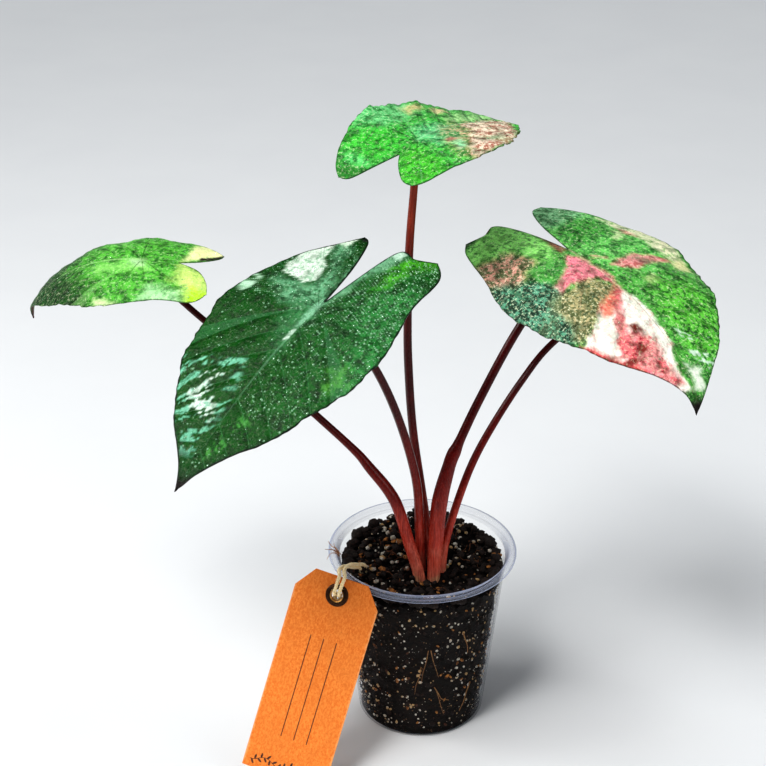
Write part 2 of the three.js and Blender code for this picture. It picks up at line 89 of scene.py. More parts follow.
class Finish:
    """A material built node by node. A socket takes a value, a colour code or another node's output."""

    def __init__(self, name):
        self.material = bpy.data.materials.new(name)
        self.material.use_nodes = True
        self.tree = self.material.node_tree
        self.tree.nodes.clear()
        output = self.tree.nodes.new("ShaderNodeOutputMaterial")
        self.shader = self.tree.nodes.new("ShaderNodeBsdfPrincipled")
        self.tree.links.new(self.shader.outputs[0], output.inputs["Surface"])

    def node(self, kind, inputs, **settings):
        made = self.tree.nodes.new("ShaderNode" + kind)
        for key, value in settings.items():
            setattr(made, key, value)
        for key, value in inputs.items():
            self.plug(made.inputs[key], value)
        return made

    def plug(self, socket, value):
        if isinstance(value, bpy.types.NodeSocket):
            self.tree.links.new(value, socket)
        else:
            socket.default_value = colour(value) if isinstance(value, str) else value

    def surface(self, **sockets):
        for key, value in sockets.items():
            self.plug(self.shader.inputs[key.replace("_", " ")], value)
        return self.material

    def mapped(self, where, scale=(1, 1, 1), shift=(0, 0, 0)):
        return self.node("Mapping", {"Vector": where, "Scale": scale, "Location": shift}).outputs[0]

    def place(self, *scale):
        """Object coordinates in millimetres, stretched where a scale is given."""
        point = self.node("TexCoord", {}).outputs["Object"]
        return self.mapped(point, tuple(s / MM for s in scale or (1, 1, 1)))

    def blade_place(self, length):
        """The blade's flat coordinates in millimetres."""
        return self.mapped(self.node("UVMap", {}, uv_map="flat").outputs[0], (length, length, length))

    def part(self, where, axis):
        return self.node("SeparateXYZ", {"Vector": where}).outputs[axis]

    def attribute(self, name, output="Fac"):
        return self.node("Attribute", {}, attribute_name=name).outputs[output]

    def noise(self, where, scale, detail=3, rough=0.55, twist=0):
        return self.node("TexNoise", {
            "Vector": where, "Scale": scale, "Detail": detail, "Roughness": rough, "Distortion": twist,
        }).outputs["Fac"]

    def cells(self, where, scale):
        return self.node("TexVoronoi", {"Vector": where, "Scale": scale}).outputs["Distance"]

    def band(self, value, low, high, start=0, end=1):
        """Smoothly from start to end as the value goes from low to high."""
        return self.node("MapRange", {
            "Value": value, "From Min": low, "From Max": high, "To Min": start, "To Max": end,
        }, interpolation_type="SMOOTHSTEP").outputs["Result"]

    def worked(self, operation, first, *others):
        """One value from several, taken in turn, or from the first alone."""
        if not others:
            return self.node("Math", {0: first}, operation=operation).outputs[0]
        for other in others:
            first = self.node("Math", {0: first, 1: other}, operation=operation).outputs[0]
        return first

    def sum(self, *values):
        return self.worked("ADD", *values)

    def product(self, *values):
        return self.worked("MULTIPLY", *values)

    def off_vein(self):
        """How far a place is from the nearest line midway between two veins: 0.5 on a vein."""
        return self.worked("ABSOLUTE", self.sum(self.worked("FRACT", self.attribute("order")), -0.5))

    def blend(self, share, first, second, how="MIX"):
        mixed = self.node("Mix", {}, data_type="RGBA", blend_type=how)
        for socket, value in ((0, share), (6, first), (7, second)):
            self.plug(mixed.inputs[socket], value)
        return mixed.outputs[2]

    def dimmed(self, share, base, tint):
        """The base, seen through a tint in places."""
        return self.blend(share, base, self.blend(1.0, base, tint, "MULTIPLY"))

    def coats(self, base, *coats):
        """A base with coats over it, each a share and its colour."""
        for share, tint in coats:
            base = self.blend(share, base, tint)
        return base

    def bump(self, height, depth, strength=1, under=None):
        inputs = {"Height": height, "Distance": depth * MM, "Strength": strength}
        if under is not None:
            inputs["Normal"] = under
        return self.node("Bump", inputs).outputs[0]


# Pieces

def mesh_of(name, bm):
    """A finished bmesh as a mesh."""
    mesh = bpy.data.meshes.new(name)
    bm.to_mesh(mesh)
    bm.free()
    return mesh


def piece(name, bm, slot, *finishes, replaced=None, flat=False):
    """An object from a finished bmesh in millimetres, shown in place of a CAD node where one is named."""
    bmesh.ops.scale(bm, vec=(MM, MM, MM), verts=bm.verts)
    mesh = mesh_of(name, bm)
    mesh.polygons.foreach_set("use_smooth", [not flat] * len(mesh.polygons))
    for finish in finishes:
        mesh.materials.append(finish)
    made = stand(name, mesh)
    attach(made, "root")
    if replaced:
        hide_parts(replaced)
    return made


def refinish(node, finish):
    """A CAD solid whose shape is right as it is gets its real finish."""
    mesh = nodes[node].data
    mesh.materials.clear()
    mesh.materials.append(finish)


def spline(points, shares, reflect=True):
    """Points and directions on a uniform Catmull-Rom curve at the given shares of it."""
    points = np.asarray(points, float)
    last = len(points) - 1
    if reflect:
        before, after = 2 * points[0] - points[1], 2 * points[-1] - points[-2]
    else:
        before, after = points[0], points[-1]
    padded = np.vstack([before, points, after])
    span = np.clip(shares, 0, 1) * last
    first = np.minimum(span.astype(int), last - 1)
    t = (span - first)[:, None]
    p0, p1, p2, p3 = (padded[first + k] for k in range(4))
    line, square, cube = p2 - p0, 2 * p0 - 5 * p1 + 4 * p2 - p3, 3 * p1 - p0 - 3 * p2 + p3
    place = 0.5 * (2 * p1 + line * t + square * t ** 2 + cube * t ** 3)
    way = 0.5 * (line + 2 * square * t + 3 * cube * t ** 2)
    return place, way / np.linalg.norm(way, axis=1)[:, None]


def run_length(track):
    """How far along a track each of its points lies."""
    return np.concatenate([[0], np.cumsum(np.linalg.norm(np.diff(track, axis=0), axis=1))])


def square_frame(way):
    """Two directions square to each step of a path, the first of them square to Y too."""
    across = np.cross([0, 1, 0], way)
    across /= np.linalg.norm(across, axis=1)[:, None]
    return across, np.cross(across, way)


def tube(bm, centres, radii, sides, across, other, shape=None):
    """A closed round body along a path: a grid bent round, sewn along its seam and capped."""
    steps = len(centres) - 1
    verts = bmesh.ops.create_grid(bm, x_segments=steps, y_segments=sides, size=0.5)["verts"]
    for vert in verts:
        step = round((vert.co.x + 0.5) * steps)
        angle = TURN * (vert.co.y + 0.5)
        radius = radii[step] * (shape(step / steps, angle) if shape else 1)
        out = math.cos(angle) * across[step] + math.sin(angle) * other[step]
        vert.co = Vector(centres[step] + radius * out)
    bmesh.ops.remove_doubles(bm, verts=verts, dist=1e-4)
    verts = [vert for vert in verts if vert.is_valid]
    edges = list({edge for vert in verts for edge in vert.link_edges})
    bmesh.ops.holes_fill(bm, edges=[edge for edge in edges if edge.is_boundary], sides=0)
    faces = list({face for vert in verts for face in vert.link_faces})
    bmesh.ops.recalc_face_normals(bm, faces=faces)


class Heap:
    """Many small bodies gathered into one bmesh, each of them shaped in a bmesh of its own."""

    def __init__(self):
        self.whole = bmesh.new()
        self.carrier = bpy.data.meshes.new("carrier")

    def add(self, shape, *values):
        part = bmesh.new()
        shape(part, *values)
        part.to_mesh(self.carrier)
        part.free()
        self.whole.from_mesh(self.carrier)

    def finished(self):
        bpy.data.meshes.remove(self.carrier)
        return self.whole


# Leaf blades, from the same values as the plant's solids. Each half of a blade is a grid: a column is a
# share of the way from the lobe's tip to the leaf's tip, and a row a share of the way out from the midrib.

MARGIN_AHEAD = [(0.12, 0.441), (0.40, 0.389), (0.66, 0.256), (0.88, 0.066)]
LOBE_SHOULDER = (0.82, 0.154)     # where on the lobe, and how far it swells out there
LOBE_WAIST = (0.35, 0.37)
LOBE_INSIDE = (0.94, 0.66)
NOTCH_SPREAD = 0.27
DRIP_START = 0.84
SINUS_AT = 7 / 22
OUTER_AT_SINUS = 0.40
QUILT = 0.006
EDGE_WAVE = 0.010
EDGE_WAVES = 4
CRINKLE_WAVES = ((9, 0.45), (17, 0.30), (31, 0.25))     # how many along the margin, and their share
CRINKLE_LIFT = 0.25
CRINKLE_SINK = 0.6
BLADE_COLUMNS = 140
BLADE_ROWS = 42
BLADE_THICKNESS = 0.6
VEIN_SPACING = 0.135              # along the midrib, in midrib lengths
VEIN_LEAN = 0.75
VEIN_BEND = 0.8
FAN_SPACING = math.radians(30)    # between the veins that run back into the lobes
MIDRIB_STEPS = 32

LEAVES = {
    "1": dict(
        joint=(-140, 11, 259.5), length=80, wide=0.965, crinkle=0.020, sinus=0.23,
        heading=169, pitch=0, arch=-53, arch_more=-10, lobe_arch=5, sway=4, roll=-8, drip=-40,
        left=dict(lobe=0.49, spread=0.28, full=0.57, fold=4, curl=-72),
        right=dict(lobe=0.49, spread=0.13, full=0.52, fold=3, curl=-71),
        stalk=[
            (-2, -15, 79, 3.0), (-2, -15, 91, 3.2), (-7, -14, 109, 3.1), (-15, -12, 135, 3.1),
            (-28, -9, 153, 2.6), (-41, -6, 167, 2.1), (-82, 2, 204, 1.9), (-115, 8, 232, 1.7),
            (-132, 10, 249, 1.6)]),
    "2": dict(
        joint=(-51, -42, 257.3), length=113, wide=0.985, crinkle=0.014, sinus=0.04,
        heading=229, pitch=-18, arch=-33, arch_more=17, lobe_arch=-1, sway=4, roll=0, drip=-5,
        left=dict(lobe=0.45, spread=0.285, full=0.92, fold=7, curl=-51),
        right=dict(lobe=0.45, spread=0.12, full=0.54, fold=7, curl=-24),
        stalk=[
            (-0.8, -8.5, 79, 2.6), (-0.8, -8.5, 91, 2.8), (-1.8, -10, 116, 2.5), (-4, -11.5, 147, 2.3),
            (-12.8, -15, 183, 2.2), (-24.5, -22, 215, 2.1), (-38, -31, 238, 2.0)]),
    "3": dict(
        joint=(-4.4, 10, 321.5), length=86, wide=1, crinkle=0.030, sinus=0.177,
        heading=54, pitch=7, arch=-51, arch_more=29, lobe_arch=40, sway=-4, roll=-2, drip=-26,
        left=dict(lobe=0.49, spread=0.194, full=0.43, fold=9, curl=5),
        right=dict(lobe=0.415, spread=0.24, full=0.455, fold=4.5, curl=-31),
        stalk=[
            (4.9, -8.9, 79, 2.2), (4.7, -8.5, 94, 2.3), (2.4, -6, 113, 2.3), (-0.8, -3, 136, 2.2),
            (-5.6, 0, 170, 2.2), (-8, 3, 203, 2.2), (-8.6, 5, 229, 2.1), (-8, 8, 266, 2.1),
            (-6, 10, 296, 1.9)]),
    "4": dict(
        joint=(73, 23, 259.2), length=117, wide=1.064, crinkle=0.016, sinus=0.01,
        heading=-51, pitch=-7, arch=-23, arch_more=-14, lobe_arch=25, sway=-9, roll=-6, drip=-48,
        left=dict(lobe=0.42, spread=0.224, full=0.55, fold=12, curl=-41),
        right=dict(lobe=0.376, spread=0.274, full=0.98, fold=-1.5, curl=-87),
        stalk=[
            (5.5, -15.5, 79, 3.2), (5.6, -15.5, 90, 3.4), (6.6, -14.5, 112, 4.0), (8.4, -12.5, 135, 4.2),
            (13, -9.5, 154, 3.3), (15.8, -7.5, 161, 3.2), (19, -5, 168, 2.4), (28, 1.5, 186, 2.25),
            (43.6, 10, 215, 2.2), (60, 18, 240, 2.1)]),
    "5": dict(
        joint=(88, 42, 219), length=52, wide=1, crinkle=0.020, sinus=0.1,
        heading=25, pitch=-8, arch=-35, arch_more=0, lobe_arch=10, sway=0, roll=0, drip=-25,
        left=dict(lobe=0.44, spread=0.2, full=0.5, fold=8, curl=-40),
        right=dict(lobe=0.44, spread=0.2, full=0.5, fold=8, curl=-40),
        stalk=[
            (10, -9.8, 79, 2.2), (10.2, -9.5, 93, 2.3), (12, -8, 108, 2.2), (18.3, -3, 130, 2.1),
            (26.4, 4, 150, 2.05), (37.7, 12, 169, 1.95), (51.5, 21, 188, 1.85), (65, 30.5, 202, 1.75)]),
}


def halves(leaf):
    """Both halves of a leaf, each with the sign of its side."""
    return (1, leaf["left"]), (-1, leaf["right"])


def margin_points(leaf, half):
    """The outer margin and the lobe's inner margin of a flat half, as control points."""
    lobe, spread = half["lobe"], half["spread"]
    outer = [(-lobe, spread), (-lobe * LOBE_SHOULDER[0], spread + LOBE_SHOULDER[1] * lobe)]
    outer += [(-lobe * LOBE_WAIST[0], LOBE_WAIST[1] * leaf["wide"])]
    outer += [(ahead, width * leaf["wide"]) for ahead, width in MARGIN_AHEAD]
    outer += [(1, 0)]
    notch = -lobe * half["full"] - leaf["sinus"] * (1 - half["full"])
    inner = [(-lobe, spread), (-lobe * LOBE_INSIDE[0], spread * LOBE_INSIDE[1])]
    inner += [(notch, spread * NOTCH_SPREAD), (-leaf["sinus"], 0)]
    return outer, inner


def even_point(controls, shares):
    """Points at even shares of a curve's length."""
    fine = np.linspace(0, 1, 201)
    length = run_length(spline(controls, fine, False)[0])
    return spline(controls, np.interp(np.asarray(shares) * length[-1], length, fine), False)[0]


def crinkle(column, phase):
    """The margin's small ins and outs, from -1 to 1 along it."""
    return sum(size * np.sin(TURN * count * column + phase * (count + 1)) for count, size in CRINKLE_WAVES)


def flat_blade(leaf, half, column, row):
    """Flat places of a half's grid: along the midrib from the stalk, and away from it, in midrib lengths."""
    outer, inner = margin_points(leaf, half)
    swell = leaf["crinkle"] * crinkle(column, half["spread"]) * np.sin(np.pi * column)
    ahead = np.maximum(0, (column - SINUS_AT) / (1 - SINUS_AT))
    behind = np.minimum(1, column / SINUS_AT)
    on_midrib = np.stack([-leaf["sinus"] * (1 - ahead) + ahead, 0 * ahead], 1)
    root = np.where((column < SINUS_AT)[:, None], even_point(inner, behind), on_midrib)
    share_ahead = OUTER_AT_SINUS + (1 - OUTER_AT_SINUS) * ahead
    share = np.where(column < SINUS_AT, OUTER_AT_SINUS * behind, share_ahead)
    return root + (even_point(outer, share) - root) * (row * (1 + swell * row ** 2))[:, None]


def midrib_way(leaf, s):
    """The midrib's direction at s midrib lengths from the stalk, and how far it has swung sideways."""
    drip = leaf["drip"] * np.maximum(0, s - DRIP_START) / (1 - DRIP_START)
    ahead = leaf["pitch"] + leaf["arch"] * s + leaf["arch_more"] * s ** 2 + drip
    pitch = np.radians(np.where(s < 0, leaf["pitch"] - leaf["lobe_arch"] * s, ahead))
    swing = np.radians(np.where(s < 0, 0, leaf["sway"] * s))
    level = np.cos(pitch)
    return np.stack([level * np.cos(swing), level * np.sin(swing), np.sin(pitch)], 1), swing


def midrib_place(leaf, s):
    steps = [midrib_way(leaf, s * (k + 0.5) / MIDRIB_STEPS)[0] for k in range(MIDRIB_STEPS)]
    return sum(step * s[:, None] / MIDRIB_STEPS for step in steps)


def vein_order(along, away):
    """Whole numbers fall on the lateral veins: they lean forward ahead of the stalk and fan out behind it."""
    forward = (along - VEIN_LEAN * away - VEIN_BEND * away ** 2) / VEIN_SPACING
    fan = (math.atan2(1, VEIN_LEAN) - np.arctan2(away, along)) / FAN_SPACING
    return np.where(forward > 0, forward, np.minimum(fan, 0))


def turned_leaf(leaf):
    """How the leaf faces on the plant."""
    heading = Matrix.Rotation(math.radians(leaf["heading"]), 4, "Z")
    return heading @ Matrix.Rotation(math.radians(leaf["roll"]), 4, "X")


def carried(place, points):
    """An array of points moved by a matrix."""
    place = np.array(place)
    return points @ place[:3, :3].T + place[:3, 3]


def lift_blade(leaf, half, side, flat, column, row):
    """Flat places brought to the arched, folded and quilted blade on the plant."""
    along, swing = midrib_way(leaf, flat[:, 0])
    sideways = np.stack([-np.sin(swing), np.cos(swing), 0 * swing], 1)
    upward = np.cross(along, sideways)
    fold, curl = math.radians(half["fold"]), math.radians(half["curl"])
    angle = fold + curl * flat[:, 1]
    out = (np.sin(angle) - math.sin(fold)) / curl
    up = (math.cos(fold) - np.cos(angle)) / curl
    ends = np.sin(np.pi * column)
    vein = vein_order(flat[:, 0], flat[:, 1])
    relief = QUILT * np.where(vein > 0, 1, 0.5) * np.sin(np.pi * vein) ** 2 * np.sin(np.pi * row)
    relief += EDGE_WAVE * np.sin(TURN * EDGE_WAVES * column) * ends * row ** 3
    crimp = CRINKLE_LIFT * leaf["crinkle"] * (crinkle(column, half["fold"]) - CRINKLE_SINK)
    relief += crimp * ends * row ** 5
    place = midrib_place(leaf, flat[:, 0])
    place += sideways * (side * (out - relief * np.sin(angle)))[:, None]
    place += upward * (up + relief * np.cos(angle))[:, None]
    return carried(Matrix.Translation(leaf["joint"]) @ turned_leaf(leaf), place * leaf["length"])


def distance_to(track, points):
    """Shortest distance from each point to a line through the track's points."""
    start, step = track[:-1], np.diff(track, axis=0)
    offset = points[:, None, :] - start[None]
    share = np.clip((offset * step).sum(2) / np.maximum((step ** 2).sum(1), 1e-12), 0, 1)
    return np.linalg.norm(offset - share[..., None] * step[None], axis=2).min(1)


def inside(track, points):
    """True where a point lies within a closed track."""
    found = np.zeros(len(points), bool)
    for (ax, ay), (bx, by) in zip(track, track[1:]):
        crosses = (ay > points[:, 1]) != (by > points[:, 1])
        at = (bx - ax) * (points[:, 1] - ay) / ((by - ay) or 1e-12) + ax
        found ^= crosses & (points[:, 0] < at)
    return found


def step_up(value, low, high):
    """Smoothly from 0 to 1 as the value goes from low to high."""
    t = np.clip((value - low) / (high - low), 0, 1)
    return t * t * (3 - 2 * t)


def bulge(value, width):
    """1 in the middle, and less and less away from it."""
    return math.exp(-((value / width) ** 2))


# How each leaf looks. Ground: its colour, its fleck colour and how much of it is flecked. Under: the lower
# face's two colours. Rib: its colour, and its strength near the stalk and near the tip. Vein: colour and
# strength. Edge: colour, width and strength. Gloss: the least roughness. Shine: how pale the sparks are.

LOOKS = {
    "1": dict(
        slot="lime_leaf", ground=("5cbc3e", "257020", 0.64), under=("6c8c50", "7c6c44"),
        upper=dict(rib=("b8ec9c", 0.35, 0.15), vein=("a8e48c", 0.16), edge=("2a541c", 0.5, 0.7),
                   gloss=0.34, shine=0.42)),
    "2": dict(
        slot="dark_leaf", ground=("064c08", "052a06", 0.50), under=("44382c", "5c2c2c"),
        upper=dict(rib=("7cb48c", 0.25, 0.05), vein=("3f8250", 0.30), edge=("0a1c0c", 0.9, 0.95),
                   gloss=0.24, shine=0.10)),
    "3": dict(
        slot="mint_leaf", ground=("4cbe4a", "156420", 0.65), under=("5c7c48", "6c5440"),
        upper=dict(rib=("a0e0a8", 0.35, 0.1), vein=("90dc98", 0.16), edge=("1c5420", 0.5, 0.75),
                   gloss=0.32, shine=0.50)),
    "4": dict(
        slot="pink_leaf", ground=("5cb44c", "17581c", 0.62), under=("70503c", "84504c"),
        upper=dict(rib=("c8b898", 0.35, 0.1), vein=("a8d098", 0.10), edge=("16300f", 0.55, 0.7),
                   gloss=0.28, shine=0.60)),
    "5": dict(
        slot="dark_leaf", ground=("2a7230", "144a1e", 0.45), under=("44382c", "5c2c2c"),
        upper=dict(rib=("9ccca8", 0.6, 0.2), vein=("4c9058", 0.40), edge=("0a1c0c", 0.8, 0.9),
                   gloss=0.28, shine=0.2)),
}

# The variegation's patches, and a few patches of painted sheen on the second leaf. Each has its colour, its
# fleck colour, how much of it is flecked, how soft its edge is, how much of it breaks up into strokes along
# the veins, and its outline
# on the flat blade: along the midrib from the stalk, and to the left of it, in hundredths of the midrib's
# length.

PATCHES = {
    "1": [
        ("124a0e", "092a09", 0.6, 0.16, 0, [105,-10, 55,-42, 36,-45, 50,-2, 30,22, 22,50, 60,50, 105,10]),
        ("8fdc6c", "5cb84a", 0.4, 0.05, 0, [32,7, 13,4, -4,1, -8,12, 10,14, 27,15]),
        ("c8e47c", "93c858", 0.4, 0.06, 0, [-26,0, -41,8, -52,20, -52,36, -40,44, -36,36, -33,26, -25,18]),
        ("b6e628", "9ad028", 0.2, 0.04, 0, [-38,25, -52,28, -48,40, -36,40]),
        ("eef0b0", "c4d878", 0.3, 0.03, 0, [-26,-2, -27,-26, -42,-30, -55,-12, -38,-6]),
        ("1c1408", "0c0804", 0.3, 0.01, 0, [-34,-3, -36,-7.5, -46,-11, -52,-16, -54,-8]),
        ("a8dca0", "6fb46c", 0.5, 0.05, 0, [-10,25, -31,28, -35,36, -20,40, -8,38]),
        ("c4f0b4", "8fd070", 0.3, 0.03, 0, [6,1, -1,0, -3,7, 3,8]),
        ("d8f0b0", "90c070", 0.3, 0.02, 0, [22,37, 5,41, 5,47, 22,45]),
    ],
    "2": [
        ("145c1a", "07340c", 0.6, 0.08, 0, [6,4, -9,1, -30,6, -46,30, -20,45, 11,47, 42,42, 64,28, 50,16,
         27,12]),
        ("2c803a", "0e4817", 0.7, 0.08, 0, [-5,16, -30,26, -20,48, 11,50, 42,45, 36,36, 10,28]),
        ("6fae84", "2c6a3c", 0.7, 0.05, 0, [-6,-30, -9,-12, -20,-8, -36,-14, -40,-24, -9,-1, 5,0, 3,-16]),
        ("3a7c48", "1c502a", 0.5, 0.06, 0, [0,0, 0,-12, 14,-8, 26,-3, 30,0]),
        ("84bc98", "3c7c50", 0.5, 0.01, 0, [14,-2, 0,-2.5, -5,-2, -5,0, 0,0.8, 16,0]),
        ("e0f0e4", "a8d0b4", 0.2, 0.006, 0, [21,-0.9, 15,-1, 14,0.2, 20,0.2]),
        # Painted sheen: the bluish-mint band along the left lobe's inner edge, where the folded-up blade
        # catches the light.
        ("79b48c", "1c4a28", 0.4, 0.04, 0, [-3,2, -19,-3, -36,-3, -42,7, -41,13, -33,12, -27,6, -14,4]),
        ("50b424", "1f6c1c", 0.6, 0.02, 0.5, [-16,14, -32,13, -42,17, -48,27, -42,32, -34,24, -22,19]),
        ("dce8dc", "7cac88", 0.5, 0.004, 0, [-11,-30, -9,-16, -12,-12, -22,-14, -26,-19, -36,-20, -34,-26,
         -25,-30, -17,-32]),
        ("d6e8d4", "9cc0a0", 0.3, 0.012, 0, [-36,-20, -41,-17, -42,-13, -36,-15]),
        ("b4d8bc", "6ca878", 0.3, 0.01, 0, [-4,-41, -5,-36, -2,-35]),
        ("b8dcc0", "6ca878", 0.3, 0.012, 0, [6,-41, 1,-41, 1,-36, 4,-35, 7,-38]),
        ("c8e8d4", "8cc0a0", 0.3, 0.012, 0, [-39,7, -44,9, -43,13, -39,13]),
        # Painted sheen: the mint and white strokes along the veins of the right half towards the tip, in this
        # row and the next, stand for light caught on the quilted veins.
        ("7ac4a4", "2f6f48", 0.5, 0.02, 1.0, [58,-33, 46,-36, 40,-22, 36,-9, 50,-4, 64,-2, 84,-3, 84,-14,
         72,-26]),
        ("e4f2e8", "7ac4a4", 0.5, 0.012, 1.0, [60,-24, 48,-22, 45,-12, 54,-9, 68,-4, 68,-10, 64,-19]),
        ("44903c", "1c5420", 0.5, 0.02, 1.0, [86,3, 70,14, 56,13, 52,9, 66,7, 80,2]),
        ("0a1c0c", "050c05", 0.3, 0.008, 0, [-41.5,-4, -50,-4, -50,-20, -43,-20]),
        ("0c2c12", "071c0a", 0.4, 0.006, 0, [0,1.2, -2,8, -6,19, -4.5,19, -0.5,8.5, 1.6,1.5]),
        ("134018", "0a280e", 0.4, 0.008, 0, [10,1, 6,10, 7,22, 8.5,22, 8,10, 12.5,1]),
        ("5aa03c", "2a6a28", 0.5, 0.04, 0, [24,33, 30,38, 36,33, 28,29]),
        ("0d2c12", "06180a", 0.3, 0.1, 0, [84,-20, 92,0, 84,20, 110,10, 110,-10]),
    ],
    "3": [
        ("78d888", "268c3a", 0.6, 0.06, 0, [0,45, 17,50, 34,46, 39,34, 36,24, 15,20, 0,24, -7,35]),
        ("42c63a", "177620", 0.6, 0.08, 0, [-21,35, -6,30, 3,14, -3,6, -20,2, -31,12, -29,23]),
        ("68dc78", "1f8434", 0.6, 0.04, 0, [-30,26, -31,13, -35,7, -39,21]),
        ("2f8a2c", "175a1c", 0.6, 0.05, 0, [-52,25, -40,26, -36,7, -42,6, -52,15]),
        ("4cc432", "1a701c", 0.6, 0.06, 0, [-10,0, -6,-3, -13,-25, -21,-36, -45,-30, -42,-16, -20,0]),
        ("70d28c", "2f8a54", 0.55, 0.06, 0.2, [10,12, 30,6, 33,-9, 11,-24, -2,-16, 1,1]),
        ("b4e89c", "3c9440", 0.6, 0.06, 0.2, [50,16, 78,12, 86,2, 60,0, 40,-1, 36,6]),
        ("d8c48c", "7fb45c", 0.45, 0.04, 0, [28,34, 42,33, 40,26, 26,25]),
        ("e0cc9c", "8fb868", 0.45, 0.03, 0, [44,24, 55,24, 52,17, 42,17]),
        ("e0a890", "3c8c3c", 0.9, 0.05, 0.5, [24,0, 37,3, 50,0, 30,-20, 10,-42, -5,-42, -6,-33, 0,-24,
         8,-13, 16,-6]),
        ("ffe4d0", "a45c4c", 0.74, 0.03, 0.1, [37,-3, 67,2, 90,2, 98,-2, 74,-12, 56,-30, 37,-42, 14,-44,
         -2,-44, -1,-37, 7,-30, 19,-21, 30,-14]),
        ("b87c6c", "7c4c40", 0.5, 0.02, 0, [6,-14, 11,-15, 10,-21, 4,-18]),
        ("98e4b0", "5cb878", 0.3, 0.03, 0, [5,-21, 11,-22, 4,-30, -1,-29]),
    ],
    "4": [
        ("78d86a", "2f7f34", 0.7, 0.05, 0, [-42,8, -30,2, 0,0, 20,3, 30,20, 10,50, -20,50, -45,30]),
        ("94d49c", "2c7c40", 0.7, 0.05, 0, [-46,17, -44,28, -32,36, -21,30, -19,9, -22,2, -36,6]),
        ("4cac40", "1d5f24", 0.7, 0.05, 0, [-18,10, -22,27, -12,33, -3,27, -1,12, -3,4]),
        ("f4f0cc", "7cb860", 0.55, 0.02, 0.1, [-19,35, -10,42, 1,48, 14,48, 27,42, 26,37, 15,35, 3,36,
         -8,33]),
        ("f0b8a8", "c08070", 0.6, 0.012, 0.2, [-7,33, -3,37, 4,37, 0,32]),
        ("e8e4bc", "8fb47c", 0.5, 0.02, 0, [-4,30, -2,34, 3,28, 2,24]),
        ("f0a0a0", "b8605c", 0.6, 0.012, 0, [18,7, 16,14, 15,22, 19,30, 25,36, 23,23, 26,17, 21,10]),
        ("e0a098", "b86c64", 0.4, 0.012, 0.3, [8,5, 13,10, 14,8, 10,4]),
        ("f0e8b0", "9cc070", 0.4, 0.02, 0, [25,35, 25,42, 33,40, 31,34]),
        ("e8e0b0", "9cc070", 0.5, 0.02, 0, [32,13, 31,19, 36,18, 36,13]),
        ("68cc44", "146018", 0.66, 0.06, 0, [33,15, 40,30, 55,34, 72,26, 80,12, 72,4, 55,5]),
        ("d4ecd8", "3c9440", 0.4, 0.01, 1.0, [60,6, 70,15, 82,14, 84,10, 76,6]),
        ("e8f0e0", "a0c8a0", 0.3, 0.015, 0, [78,1, 82,6, 90,4, 90,0]),
        ("a4f884", "2f8c30", 0.54, 0.04, 0, [-30,-36, -38,-25, -39,-7, -19,-2, -6,-2, 2,-15, -11,-19,
         -18,-34]),
        ("1c5424", "0c2c14", 0.4, 0.012, 0, [-42,-34, -42,-14, -37.5,-14, -35,-22, -34,-34]),
        ("e8a898", "4c6038", 0.88, 0.03, 0, [-22,-46, -20,-34, -14,-21, 0,-19, 2,-27, 7,-34, 4,-39, -6,-42,
         -14,-48]),
        ("9c6450", "6c4034", 0.5, 0.015, 0, [-20,-2, -20,0, -3,0, 0,-5, -4,-6, -15,-3]),
        ("60b454", "1f6a28", 0.6, 0.03, 0, [0,-27, 0,-17, 7,-8, 14,-13, 13,-20, 8,-25]),
        ("ff94a4", "b8485c", 0.55, 0.016, 0, [2,-5, 8,0, 20,1, 31,0, 23,-5, 22,-11, 21,-18, 24,-26, 17,-25,
         15,-19, 11,-12]),
        ("64a888", "0e2c1c", 0.92, 0.03, 0, [-9,-44, 0,-37, 6,-30, 14,-24, 24,-24, 31,-28, 39,-30, 44,-26,
         50,-30, 50,-40, 32,-50, 10,-52, -10,-50]),
        ("c8b488", "546038", 0.95, 0.02, 0.1, [24,-32, 24,-26, 23,-19, 21,-9, 30,-1, 38,-6, 39,-14, 41,-18,
         47,-24, 52,-33, 48,-35, 39,-31, 31,-32]),
        ("fffaf0", "f8b8b0", 0.4, 0.01, 0, [32,-1, 41,2, 53,2, 66,1, 75,-3, 82,-4, 90,-1, 90,-9, 78,-18,
         70,-25, 62,-34, 55,-36, 48,-25, 41,-18, 39,-14, 40,-8]),
        ("ec8470", "c85c50", 0.5, 0.02, 0, [40,-17, 31,-3, 34,-2, 44,-11, 46,-15, 45,-19]),
        ("f07c80", "c04c54", 0.5, 0.014, 0.1, [30,-1, 33,-1, 45,-9, 58,-15, 70,-19, 66,-24, 60,-20, 51,-17,
         41,-11]),
        ("f4747c", "a82834", 0.62, 0.03, 0.2, [58,-19, 55,-11, 62,-6, 76,-7, 86,-5, 86,-14, 78,-18,
         70,-24]),
        ("ec5c60", "a82c34", 0.55, 0.015, 0, [54,-33, 60,-29, 70,-21, 78,-15, 76,-22, 62,-38, 52,-38]),
        ("f4a8d0", "c44c74", 0.7, 0.014, 0.2, [78,-16, 84,-12, 90,-6, 90,-13, 80,-20]),
        ("742018", "4c1410", 0.4, 0.01, 0, [53,-12, 53,-8, 57,-8, 59,-13]),
        ("842c24", "541814", 0.4, 0.01, 0, [62,-13, 65,-10, 68,-12, 68,-16]),
        ("8c2c28", "5c1814", 0.4, 0.008, 0, [68,-22, 70,-17, 72,-19, 71,-24]),
        ("0f2410", "08140a", 0.3, 0.03, 0, [93,-20, 94,0, 93,20, 110,10, 110,-10]),
    ],
    "5": [
        ("8fc49c", "3c7c48", 0.5, 0.03, 0.6, [10,-5, 20,-30, 50,-36, 60,-10]),
    ],
}


